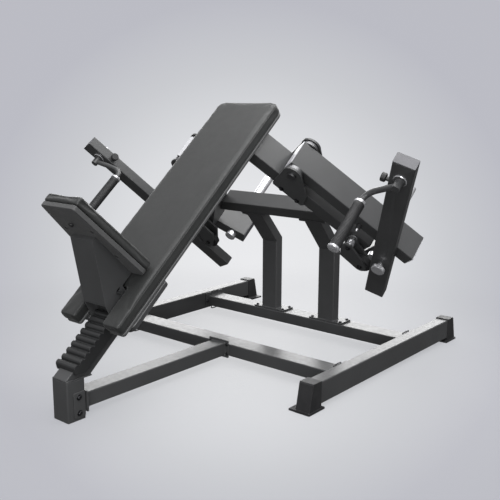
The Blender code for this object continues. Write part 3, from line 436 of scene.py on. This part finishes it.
def add_bolt(shape, place, radius=0.005, height=0.0055):
    """Washer and chamfered hexagon head, standing on the placement's plane."""
    washer, lip, chamfer, dish = 0.0014, 0.0004, 0.0012, 0.0006
    rim, corner = radius * 1.9, radius * 1.45
    lathe(shape, place, [(0, 0), (rim, 0), (rim, washer - lip), (rim - lip, washer), (0, washer)], 28)
    lathe(shape, place, [(0, washer), (corner, washer), (corner, height - chamfer),
                         (radius * 1.22, height), (radius * 0.7, height), (radius * 0.62, height - dish),
                         (0, height - dish)], 6)


def bolt_group(name, body, places, radius=0.005, height=0.0055):
    """One piece that holds a bolt at every placement."""
    shape = bmesh.new()
    for place in places:
        add_bolt(shape, place, radius, height)
    make_piece(name, shape, dark_bolt, body)


def tube_cap(shape, place, half_x, half_y):
    """Press-in end cap: a flat lid on the tube's end and a plug inside it."""
    prism(shape, place, rounded_box(half_x - CAP_INSET, half_y - CAP_INSET, CAP_CORNER), 0, CAP_THICKNESS)
    prism(shape, place, rounded_box(half_x - CAP_WALL, half_y - CAP_WALL, PLUG_CORNER),
          -CAP_PLUG, PLUG_OVERLAP)


def weld_around(shape, place, half_x, half_y):
    """Weld bead round a rectangular tube where it meets a plate."""
    outline = rounded_box(half_x, half_y, WELD_CORNER, 6)
    dense = []
    for index, (x, y) in enumerate(outline):
        before = Vector(outline[index - 1])
        length = (Vector((x, y)) - before).length
        pieces = max(1, round(length / WELD_SPACING))
        dense += [before.lerp(Vector((x, y)), (step + 1) / pieces) for step in range(pieces)]
    points = [place @ Vector((p.x, p.y, 0)) for p in dense]
    sweep(shape, points, (place.to_3x3() @ Vector((0, 0, 1))).normalized(), WELD_RADIUS, WELD_RIPPLE)


# Padding --------------------------------------------------------------------------------------
def bake(piece):
    """Work a piece's modifiers into its mesh."""
    graph = bpy.context.evaluated_depsgraph_get()
    mesh = bpy.data.meshes.new_from_object(piece.evaluated_get(graph))
    piece.modifiers.clear()
    piece.data = mesh


def corner_points(piece):
    """Copies of all the places in a piece's mesh."""
    return [vertex.co.copy() for vertex in piece.data.vertices]


def soft_pad(name, node, body, out, voxel, proud):
    """A stuffed pad blown up from its CAD solid, held flat where it lies on its board."""
    shape = bmesh.new()
    shape.from_mesh(nodes[node].data)
    bmesh.ops.remove_doubles(shape, verts=shape.verts, dist=JOIN_DISTANCE)
    bmesh.ops.recalc_face_normals(shape, faces=shape.faces)
    shape.normal_update()
    for vertex in shape.verts:
        vertex.co -= vertex.normal * PAD_SHRINK
    mesh = bpy.data.meshes.new(name)
    shape.to_mesh(mesh)
    shape.free()
    piece = bpy.data.objects.new(name, mesh)
    scene.collection.objects.link(piece)
    remesh = piece.modifiers.new("even_mesh", 'REMESH')
    remesh.mode = 'VOXEL'
    remesh.voxel_size = voxel
    bpy.context.view_layer.update()
    bake(piece)
    start = corner_points(piece)
    back = min(point.dot(out) for point in start)
    held = piece.vertex_groups.new(name="held")
    held.add([i for i, point in enumerate(start) if point.dot(out) < back + voxel * HELD_DEPTH], 1.0, 'ADD')
    blow_up(piece, start, proud)
    skin = piece.data
    smooth = piece.modifiers.new("fine_mesh", 'SUBSURF')
    smooth.levels = smooth.render_levels = 1
    bpy.context.view_layer.update()
    bake(piece)
    piece.vertex_groups.clear()
    piece.data.materials.clear()
    piece.data.materials.append(finishes["vinyl"])
    piece.data.shade_smooth()
    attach(piece, body)
    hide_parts(node)
    return skin


def blow_up(piece, start, proud):
    """Fill the pad with air as cloth, then limit how far it stands proud."""
    cloth = piece.modifiers.new("stuffing", 'CLOTH')
    settings = cloth.settings
    settings.quality = 4
    settings.mass = 0.4
    settings.tension_stiffness = settings.compression_stiffness = 25
    settings.shear_stiffness = 12
    settings.bending_stiffness = 6
    settings.use_pressure = True
    settings.uniform_pressure_force = PAD_PRESSURE
    settings.vertex_group_mass = "held"
    settings.effector_weights.gravity = 0
    cloth.collision_settings.use_collision = False
    cloth.point_cache.frame_start, cloth.point_cache.frame_end = 1, PAD_STEPS
    for step in range(1, PAD_STEPS + 1):
        scene.frame_set(step)
    bake(piece)
    scene.frame_set(1)
    for vertex, point in zip(piece.data.vertices, start):
        moved = vertex.co - point
        if moved.length > STILL:
            vertex.co = point + moved.normalized() * proud * math.tanh(moved.length / proud)


def section_loop(mesh, point, normal):
    """The ordered points where a plane cuts a mesh once."""
    shape = bmesh.new()
    shape.from_mesh(mesh)
    everything = shape.verts[:] + shape.edges[:] + shape.faces[:]
    cut = bmesh.ops.bisect_plane(shape, geom=everything, plane_co=point, plane_no=normal)["geom_cut"]
    beside = {}
    for edge in (item for item in cut if isinstance(item, bmesh.types.BMEdge)):
        for here, there in (edge.verts, reversed(edge.verts)):
            beside.setdefault(here, []).append(there)
    here = next(iter(beside))
    loop, seen = [], set()
    while here is not None:
        seen.add(here)
        loop.append(here.co.copy())
        here = next((vertex for vertex in beside[here] if vertex not in seen), None)
    shape.free()
    return loop


def add_piping(name, skin, body, level_point, out):
    """Welted seam round a pad's side, just behind its front face."""
    loop = section_loop(skin, level_point, out)
    spaced = loop[::2]
    smooth = [(spaced[i - 1] + spaced[i] * 2 + spaced[(i + 1) % len(spaced)]) / 4
              for i in range(len(spaced))]
    shape = bmesh.new()
    sweep(shape, smooth, out, PIPING_RADIUS)
    make_piece(name, shape, finishes["vinyl"], body, sharp=math.pi)


SEAT_OUT = incline.to_3x3() @ (Matrix.Rotation(SEAT_TILT, 3, 'X') @ Vector((0, 0, 1)))
back_skin = soft_pad("back_cushion", "back_pad", "frame", OUT, voxel=0.007, proud=0.004)
seat_skin = soft_pad("seat_cushion", "seat_pad", "seat_unit", SEAT_OUT, voxel=0.006, proud=0.006)
back_front, seat_front = reach("back_pad", OUT)[1], reach("seat_pad", SEAT_OUT)[1]
add_piping("back_cushion_seam", back_skin, "frame", OUT * (back_front - SEAM_DEPTH), OUT)
add_piping("seat_cushion_seam", seat_skin, "seat_unit", SEAT_OUT * (seat_front - SEAM_DEPTH), SEAT_OUT)


# Base hardware --------------------------------------------------------------------------------
def middle(node):
    """The centre of a CAD node's box."""
    low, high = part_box(node)
    return (low + high) / 2


FLANGE = 0.006                  # thickness of the end flanges
CROSS_TUBE_DROP, CROSS_TUBE_HALF, CROSS_FLANGE_OVERHANG, CROSS_BOLT_Y = 0.005, 0.028, 0.0205, 0.060
SPINE_Z, SPINE_HALF, SPINE_BOLT_X, SPINE_BOLT_Z = 0.067, (0.040, 0.030), 0.0495, (0.046, 0.090)
POST_PLATE_HALF, POST_PLATE, POST_PLATE_Z, POST_PLATE_SHIFT = (0.026, 0.050), 0.004, 0.062, 0.012
POST_BOLT_Z, POST_BOLT_SHIFT = (0.030, 0.092), 0.010
UPRIGHT_X, UPRIGHT_FLANGE, UPRIGHT_BOLTS = 0.180, 0.008, (0.084, 0.030)
UPRIGHT_TUBE_HALF, UPRIGHT_TUBE_SHIFT = (0.0475, 0.025), 0.015


def cross_member_parts(node):
    """Flange bolts and welds at both ends of a cross-member."""
    low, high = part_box(node)
    centre = middle(node)
    plate_face = high.x - FLANGE
    tube_z = centre.z - CROSS_TUBE_DROP
    half_y = (high.y - low.y) / 2 - CROSS_FLANGE_OVERHANG
    places = [facing(Vector((side * plate_face, centre.y + y, tube_z)), Vector((-side, 0, 0)))
              for side, _ in SIDES for y in (-CROSS_BOLT_Y, CROSS_BOLT_Y)]
    bolt_group(f"{node}_bolts", "frame", places)
    shape = bmesh.new()
    for side, _ in SIDES:
        place = facing(Vector((side * plate_face, centre.y, tube_z)), Vector((-side, 0, 0)))
        weld_around(shape, place, CROSS_TUBE_HALF, half_y)
    make_piece(f"{node}_welds", shape, finishes["frame_paint"], "frame")


def spine_parts():
    """Flange bolts and welds at both ends of the spine tube."""
    low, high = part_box("spine_tube")
    ends = ((low.y + FLANGE, 1), (high.y - FLANGE, -1))
    places, shape = [], bmesh.new()
    for y, way in ends:
        for x in (-SPINE_BOLT_X, SPINE_BOLT_X):
            places += [facing(Vector((x, y, z)), Vector((0, way, 0))) for z in SPINE_BOLT_Z]
        weld_around(shape, facing(Vector((0, y, SPINE_Z)), Vector((0, way, 0))), *SPINE_HALF)
    bolt_group("spine_bolts", "frame", places, radius=0.004, height=0.0045)
    make_piece("spine_welds", shape, finishes["frame_paint"], "frame")


def post_parts():
    """Side plates bolted through the front post."""
    low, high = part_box("front_post")
    centre_y = (low.y + high.y) / 2
    shape, places = bmesh.new(), []
    for side, _ in SIDES:
        spot = Vector((side * high.x, centre_y + POST_PLATE_SHIFT, POST_PLATE_Z))
        place = facing(spot, Vector((side, 0, 0)))
        flat = place.to_3x3() @ Vector((1, 0, 0))
        halves = POST_PLATE_HALF if abs(flat.y) > 0.5 else POST_PLATE_HALF[::-1]
        prism(shape, place, rounded_box(*halves, 0.006), 0, POST_PLATE)
        for z in POST_BOLT_Z:
            spot = Vector((side * (high.x + POST_PLATE), centre_y + POST_BOLT_SHIFT, z))
            places.append(facing(spot, Vector((side, 0, 0))))
    make_piece("post_side_plates", shape, finishes["frame_paint"], "frame", 0.001)
    bolt_group("post_bolts", "frame", places, radius=0.006, height=0.007)


def upright_parts():
    """Four bolts through each upright's foot flange, and the weld round its tube."""
    places, shape = [], bmesh.new()
    bolt_x, bolt_y = UPRIGHT_BOLTS
    foot_y = middle("rear_cross_member").y
    for side, name in SIDES:
        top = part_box(f"upright_{name}")[0].z + UPRIGHT_FLANGE
        centre = side * UPRIGHT_X
        places += [facing(Vector((centre + x, foot_y + y, top)), Vector((0, 0, 1)))
                   for x in (-bolt_x, bolt_x) for y in (-bolt_y, bolt_y)]
        spot = Vector((centre, foot_y - UPRIGHT_TUBE_SHIFT, top))
        weld_around(shape, facing(spot, Vector((0, 0, 1))), *UPRIGHT_TUBE_HALF)
    bolt_group("upright_foot_bolts", "frame", places)
    make_piece("upright_welds", shape, finishes["frame_paint"], "frame")


cross_member_parts("front_cross_member")
cross_member_parts("rear_cross_member")
spine_parts()
post_parts()
upright_parts()


# Inclined frame hardware ----------------------------------------------------------------------
PAD_BOLT_X, PAD_BOLT_Y, PAD_WING_Z = 0.120, (0.075, 0.240), -0.089
CROSSBAR_BOLT_X, CROSSBAR_BOLT_Y, CROSSBAR_Z = 0.062, 1.118, -0.5965


def incline_parts():
    """The beam's cap, the pad bolts under its wings and the crossbar's saddle bolts."""
    shape = bmesh.new()
    beam_middle = sum(BEAM_Z) / 2
    tube_cap(shape, incline_facing(0, BEAM_TOP, beam_middle, (0, 1, 0)), BEAM_HALF,
             (BEAM_Z[1] - BEAM_Z[0]) / 2)
    make_piece("beam_cap", shape, finishes["plastic"], "frame", CAP_EDGE)
    places = [incline_facing(side * PAD_BOLT_X, y, PAD_WING_Z, (0, 0, -1)) for side, _ in SIDES
              for y in PAD_BOLT_Y]
    places += [incline_facing(side * UPRIGHT_X + x, CROSSBAR_BOLT_Y, CROSSBAR_Z, (0, 0, -1))
               for side, _ in SIDES for x in (-CROSSBAR_BOLT_X, CROSSBAR_BOLT_X)]
    bolt_group("incline_bolts", "frame", places)


def seat_parts():
    """Screw cups under the seat board, thin black discs in them as painted shade of the holes, and the small
    knob near its front edge.
    """
    board_low = reach("seat_board", SEAT_OUT)[0]
    along = ACROSS.cross(SEAT_OUT)
    front = reach("seat_board", along)[1]
    cups, hole_shades, knob = bmesh.new(), bmesh.new(), bmesh.new()
    for x in (-SEAT_CUP_X, SEAT_CUP_X):
        for from_front in SEAT_CUPS_FROM_FRONT:
            spot = ACROSS * x + along * (front - from_front) + SEAT_OUT * board_low
            place = facing(spot, -SEAT_OUT)
            lathe(cups, place, [(0.0105, 0.0), (0.0100, 0.0012), (0.0085, 0.0014), (0.0078, 0.0006),
                                (0.0078, 0.0)], 28, closed=True)
            # Thin black discs fill the cups' holes: painted shade where the holes are.
            lathe(hole_shades, place, [(0, 0), (0.0077, 0), (0.0077, 0.0003), (0, 0.0003)], 28)
    place = facing(along * (front - SEAT_KNOB_FROM_FRONT) + SEAT_OUT * board_low, -SEAT_OUT)
    lathe(knob, place, [(0, 0), (0.0050, 0), (0.0050, 0.0040), (0.0095, 0.0060), (0.0105, 0.0085),
                        (0.0095, 0.0120), (0.0060, 0.0135), (0, 0.0138)], 28)
    make_piece("seat_screw_cups", cups, finishes["board"], "seat_unit")
    make_piece("seat_screw_hole_shades", hole_shades, finishes["rubber"], "seat_unit")
    make_piece("seat_knob", knob, finishes["plastic"], "seat_unit")


incline_parts()
seat_parts()


# Levers, arms, handles and carriers -----------------------------------------------------------
PLATE_BOLTS = ((-0.1295, 0.014), (-0.1295, 0.100))
PLUNGER_X, PLUNGER_RUN = -0.018, 0.368
MITRE_GAP, MITRE_PLATE = 0.0006, 0.0025


def sideways(side, place):
    """Which way a placement's X points, in the swing frame."""
    return swings[side].to_3x3().inverted() @ (place.to_3x3() @ Vector((1, 0, 0)))


def cap_box(shape, side, x_span, y_span, run, way):
    """End cap on a tube that runs along a swing frame's run."""
    centre_x, centre_y = sum(x_span) / 2, sum(y_span) / 2
    place = swing_facing(side, centre_x, centre_y, run, (0, 0, way))
    halves = [(x_span[1] - x_span[0]) / 2, (y_span[1] - y_span[0]) / 2]
    if abs(sideways(side, place).x) < 0.5:
        halves.reverse()
    tube_cap(shape, place, *halves)


def lever_parts(side, name):
    """Everything that the visual model adds to one lever and its pivot."""
    unit = f"lever_unit_{name}"
    shape = bmesh.new()
    cap_box(shape, side, LEVER_X, LEVER_Y, LEVER_RUN[0], -1)
    cap_box(shape, side, LEVER_X, LEVER_Y, LEVER_RUN[1], 1)
    make_piece(f"lever_caps_{name}", shape, pale_plastic, unit, CAP_EDGE)
    shape = bmesh.new()
    cap_box(shape, side, SPLAY_X, SPLAY_Y, SPLAY_END, 1)
    make_piece(f"splay_cap_{name}", shape, finishes["plastic"], "frame", CAP_EDGE)
    shape = bmesh.new()
    length = (ARM_END - ARM_TOP).length
    end = arm_frame(side, length) @ Matrix.Translation((0, sum(ARM_Y) / 2, 0))
    tube_cap(shape, end, ARM_HALF, (ARM_Y[1] - ARM_Y[0]) / 2)
    make_piece(f"arm_end_cap_{name}", shape, finishes["cap_grey"], unit, CAP_EDGE)
    pivot_parts(side, name)
    plunger_parts(side, name, unit)
    carrier_parts(side, name, unit)


def pivot_parts(side, name):
    """Bolts on the pivot plates and the stop, and the sleeves on the stop's spacer."""
    places = [swing_facing(side, x, NEAR_PLATE_Y, run, (0, -1, 0)) for x, run in PLATE_BOLTS]
    places += [swing_facing(side, x, FAR_PLATE_Y, run, (0, 1, 0)) for x, run in PLATE_BOLTS]
    for spot in (STOP_SPACER_AT, STOP_AT):
        places.append(swing_facing(side, spot.x, STOP_FACES[0], spot.y, (0, -1, 0)))
    places.append(swing_facing(side, STOP_AT.x, STOP_FACES[1], STOP_AT.y, (0, 1, 0)))
    bolt_group(f"pivot_bolts_{name}", "frame", places, radius=0.0062, height=0.0078)
    spacer = bmesh.new()
    place = swing_facing(side, STOP_SPACER_AT.x, STOP_FACES[1] + 0.0004, STOP_SPACER_AT.y, (0, 1, 0))
    lathe(spacer, place, [(0.0172, 0), (0.0182, 0.001), (0.0182, 0.009), (0.0172, 0.010)], 36, closed=True)
    place = swing_facing(side, STOP_SPACER_AT.x, STOP_FACES[0] + 0.0104, STOP_SPACER_AT.y, (0, 1, 0))
    lathe(spacer, place, [(0.0172, 0), (0.0178, 0.001), (0.0178, 0.031), (0.0172, 0.032)], 36, closed=True)
    make_piece(f"stop_spacer_sleeve_{name}", spacer, finishes["chrome"], "frame")


def plunger_parts(side, name, unit):
    """Spring plunger on the lever's lower face."""
    place = swing_facing(side, PLUNGER_X, LEVER_Y[0] - 0.0003, PLUNGER_RUN, (0, -1, 0))
    shape = bmesh.new()
    lathe(shape, place, [(0, 0), (0.013, 0), (0.013, 0.006), (0.0105, 0.008), (0.0105, 0.020),
                         (0.0095, 0.021), (0, 0.021)], 32)
    make_piece(f"plunger_body_{name}", shape, finishes["plastic"], unit)
    shape = bmesh.new()
    lathe(shape, place, [(0, 0.0205), (0.0055, 0.0205), (0.0055, 0.033), (0.0045, 0.0345), (0, 0.0345)], 24)
    make_piece(f"plunger_stem_{name}", shape, finishes["chrome"], unit)


def carrier_parts(side, name, unit):
    """Caps on both ends of the weight carrier, one on its mitre, and the sleeve's plug."""
    halves = [(CARRIER_Y[1] - CARRIER_Y[0]) / 2, (CARRIER_RUN[1] - CARRIER_RUN[0]) / 2]
    place = swing_facing(side, CARRIER_X[0], sum(CARRIER_Y) / 2, sum(CARRIER_RUN) / 2, (-1, 0, 0))
    if abs(sideways(side, place).y) < 0.5:
        halves.reverse()
    shape = bmesh.new()
    tube_cap(shape, place, *halves)
    make_piece(f"carrier_cap_{name}", shape, finishes["cap_grey"], unit, CAP_EDGE)
    shape = bmesh.new()
    low = Vector((CARRIER_X[1], LEVER_Y[1] + MITRE_GAP))
    high = Vector((CARRIER_MITRE_X, CARRIER_Y[1] - MITRE_GAP))
    inward = Vector((-(high - low).y, (high - low).x)).normalized()
    outline = [low, high, high + inward * MITRE_PLATE, low + inward * MITRE_PLATE]
    outline = [(side * p.x, p.y) for p in outline]
    prism(shape, swings[side], outline, -CARRIER_RUN[1] + 0.0005, -CARRIER_RUN[0] - 0.0005)
    make_piece(f"carrier_mitre_{name}", shape, finishes["frame_paint"], unit)
    shape = bmesh.new()
    place = swing_facing(side, SLEEVE_AT.x, SLEEVE_END_Y, SLEEVE_AT.y, (0, 1, 0))
    lathe(shape, place, [(0, -0.002), (0.0150, -0.002), (0.0150, 0.0006), (0.0135, 0.0018), (0, 0.0024)], 36)
    make_piece(f"sleeve_cap_{name}", shape, finishes["plastic"], unit)


def grip_parts(side, name):
    """Ribbed rubber sleeve, its chrome collar and end cap, and the peg's ring and nut."""
    unit = f"handle_unit_{name}"
    place = swing_facing(side, GRIP_AT.x, 0, GRIP_AT.y, (0, 1, 0))
    top, low = GRIP_Y
    rib, depth, edge = 0.0058, 0.0011, GRIP_RADIUS
    count = int((top - low - 0.012) / rib)
    profile = [(CORE_RADIUS + 0.0004, low), (edge - 0.002, low), (edge, low + 0.002), (edge, low + 0.005)]
    for index in range(count):
        base = low + 0.006 + index * rib
        profile += [(edge - depth, base + rib * 0.12), (edge - depth, base + rib * 0.30),
                    (edge - 0.0001, base + rib * 0.45), (edge, base + rib * 0.70),
                    (edge - 0.0002, base + rib * 0.95)]
    profile += [(edge, top - 0.003), (edge - 0.0015, top), (CORE_RADIUS + 0.0004, top)]
    shape = bmesh.new()
    lathe(shape, place, profile, 48, closed=True)
    sleeve = make_piece(f"ribbed_grip_{name}", shape, finishes["rubber"], unit)
    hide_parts(f"grip_{name}")
    shape = bmesh.new()
    rim = GRIP_RADIUS + 0.0018
    lathe(shape, place, [(CORE_RADIUS + 0.0002, top + 0.0002), (rim - 0.0008, top + 0.0002),
                         (rim, top + 0.001), (rim, top + 0.010), (rim - 0.0009, top + 0.0112),
                         (0.0170, top + 0.0120), (0.0145, top + 0.0160),
                         (CORE_RADIUS + 0.0002, top + 0.0165)], 40, closed=True)
    lathe(shape, place, [(0, low - 0.0105), (rim - 0.0042, low - 0.0105), (rim - 0.0012, low - 0.0085),
                         (rim, low - 0.0060), (rim, low - 0.0006), (rim - 0.0015, low - 0.0002),
                         (0, low - 0.0002)], 40)
    peg = ARM_TOP + (ARM_END - ARM_TOP).normalized() * PEG_AT
    ring = swing_facing(side, peg.x, ARM_Y[0] - 0.0004, peg.y, (0, -1, 0))
    lathe(shape, ring, [(0.0250, 0), (0.0275, 0.0006), (0.0278, 0.0040), (0.0262, 0.0058), (0.0245, 0.0060)],
          44, closed=True)
    nut = swing_facing(side, peg.x, ARM_Y[1] + 0.0004, peg.y, (0, 1, 0))
    lathe(shape, nut, [(0, 0), (0.0185, 0), (0.0185, 0.0022), (0.0175, 0.0030), (0, 0.0030)], 36)
    lathe(shape, nut, [(0, 0.0028), (0.0150, 0.0028), (0.0150, 0.0120), (0.0125, 0.0165),
                       (0.0070, 0.0190), (0, 0.0196)], 32)
    make_piece(f"grip_trim_{name}", shape, finishes["chrome"], unit)


for side, name in SIDES:
    lever_parts(side, name)
    grip_parts(side, name)


# Floor, light and camera ----------------------------------------------------------------------
def stage_piece(name, shape, material):
    """A part of the studio that only the camera sees, so it adds no light of its own."""
    mesh = bpy.data.meshes.new(name)
    shape.to_mesh(mesh)
    shape.free()
    mesh.materials.append(material)
    piece = bpy.data.objects.new(name, mesh)
    scene.collection.objects.link(piece)
    piece.visible_diffuse = False
    piece.visible_glossy = False
    return piece


def make_floor():
    """Pale matt floor that melts into the backdrop away from the machine, its colour painted lighter near the
    machine as a pool of light.
    """
    graph = Graph("studio_floor")
    spread = graph.add("ShaderNodeVectorMath", operation='LENGTH')
    graph.join(graph.place, spread.inputs[0])
    # Painted pool of light: the floor's colour is lighter near the machine and darker further out.
    tone = graph.mix(graph.ranged(spread.outputs["Value"], *FLOOR_LIGHT_POOL_SPAN, 0, 1), *FLOOR_LIGHT_POOL_TONES)
    graph.set(Base_Color=tone, Roughness=0.8, Specular_IOR_Level=0.1)
    graph.set(Normal=graph.bump(graph.noise(300, 2.0), 0.0001, 0.3))
    fade = graph.add("ShaderNodeMapRange", interpolation_type='SMOOTHERSTEP')
    graph.join(spread.outputs["Value"], fade.inputs["Value"])
    fade.inputs["From Min"].default_value, fade.inputs["From Max"].default_value = FLOOR_FADE
    fade.inputs["To Min"].default_value = FLOOR_CLEAR
    clear = graph.add("ShaderNodeBsdfTransparent")
    blend = graph.add("ShaderNodeMixShader")
    graph.join(fade.outputs["Result"], blend.inputs["Fac"])
    graph.join(graph.shader.outputs["BSDF"], blend.inputs[1])
    graph.join(clear.outputs["BSDF"], blend.inputs[2])
    graph.join(blend.outputs["Shader"], graph.tree.nodes["Material Output"].inputs["Surface"])
    shape = bmesh.new()
    bmesh.ops.create_circle(shape, cap_ends=True, radius=FLOOR_RADIUS, segments=96)
    floor = stage_piece("studio_floor", shape, graph.material)
    floor.location.z = cad_low.z - FLOOR_GAP


def make_backdrop(bright_spot):
    """A large dome that glows with a painted pool of light, palest behind the machine and a little darker
    away from it.
    """
    graph = Graph("studio_backdrop")
    unit = graph.add("ShaderNodeVectorMath", operation='NORMALIZE')
    graph.join(graph.place, unit.inputs[0])
    dot = graph.add("ShaderNodeVectorMath", operation='DOT_PRODUCT')
    graph.join(unit.outputs["Vector"], dot.inputs[0])
    dot.inputs[1].default_value = bright_spot.normalized()
    angle = graph.maths('ARCCOSINE', dot.outputs["Value"], 0)
    ramp = graph.add("ShaderNodeValToRGB")
    graph.join(graph.ranged(angle, 0.0, BACKDROP_SPREAD, 0.0, 1.0), ramp.inputs["Fac"])
    stops = ramp.color_ramp.elements
    while len(stops) < len(BACKDROP_GLOW_TONES):
        stops.new(0.5)
    for stop, (place, tone) in zip(stops, BACKDROP_GLOW_TONES):
        stop.position = place
        stop.color = (*tone, 1)
    glow = graph.add("ShaderNodeEmission")
    graph.join(ramp.outputs["Color"], glow.inputs["Color"])
    graph.join(glow.outputs["Emission"], graph.tree.nodes["Material Output"].inputs["Surface"])
    shape = bmesh.new()
    bmesh.ops.create_icosphere(shape, subdivisions=5, radius=BACKDROP_RADIUS)
    stage_piece("studio_backdrop", shape, graph.material).visible_shadow = False


def make_world():
    """Soft surrounding light: bright overhead, fading to dark underneath."""
    world = bpy.data.worlds.new("studio")
    world.use_nodes = True
    tree = world.node_tree
    place = tree.nodes.new("ShaderNodeTexCoord")
    split = tree.nodes.new("ShaderNodeSeparateXYZ")
    height = tree.nodes.new("ShaderNodeMapRange")
    ramp = tree.nodes.new("ShaderNodeValToRGB")
    height.inputs["From Min"].default_value = -1
    tree.links.new(place.outputs["Generated"], split.inputs[0])
    tree.links.new(split.outputs["Z"], height.inputs["Value"])
    tree.links.new(height.outputs["Result"], ramp.inputs["Fac"])
    tree.links.new(ramp.outputs["Color"], tree.nodes["Background"].inputs["Color"])
    stops = ramp.color_ramp.elements
    while len(stops) < len(SKY_TONES):
        stops.new(0.5)
    for stop, (place, value) in zip(stops, SKY_TONES):
        stop.position = place
        stop.color = (value, value, value * SKY_BLUE, 1)
    scene.world = world


def area_light(name, location, target, size, power, colour=(1, 1, 1)):
    """A rectangular softbox that shines at the target, out of the camera's sight."""
    light = bpy.data.lights.new(name, 'AREA')
    light.shape = 'RECTANGLE'
    light.size, light.size_y = size
    light.energy = power
    light.color = colour
    lamp = bpy.data.objects.new(name, light)
    lamp.location = location
    lamp.visible_camera = False
    lamp.rotation_mode = 'QUATERNION'
    lamp.rotation_quaternion = (Vector(target) - Vector(location)).to_track_quat('-Z', 'Y')
    scene.collection.objects.link(lamp)


def make_camera():
    """The camera, where the photo was taken from."""
    camera = bpy.data.objects.new("camera", bpy.data.cameras.new("camera"))
    scene.collection.objects.link(camera)
    turned = LOOK.to_track_quat('-Z', 'Y').to_matrix() @ Matrix.Rotation(CAMERA_ROLL, 3, 'Z')
    camera.location = CAMERA_AT
    camera.rotation_euler = turned.to_euler()
    camera.data.lens = LENS
    camera.data.sensor_width = SENSOR
    scene.camera = camera


make_floor()
make_backdrop(CAMERA_AT + (LOOK + Vector((0, 0, -BRIGHT_SPOT_DROP))).normalized() * BACKDROP_RADIUS)
make_world()
area_light("overhead_softbox", (0.6, 0.8, 4.0), (0, 0, 0.3), (4.5, 4.0), 205)
area_light("rear_softbox", (-3.4, 4.4, 1.9), (0, 0, 0.6), (5.5, 2.2), 150)
area_light("front_fill", (3.0, -3.2, 3.6), (0, 0, 0.5), (2.6, 2.0), 95, (0.97, 0.98, 1.0))
area_light("low_fill", (2.6, -4.0, 0.7), (0, 0, 0.5), (2.6, 1.2), 70)
make_camera()
scene.view_settings.view_transform = 'Standard'
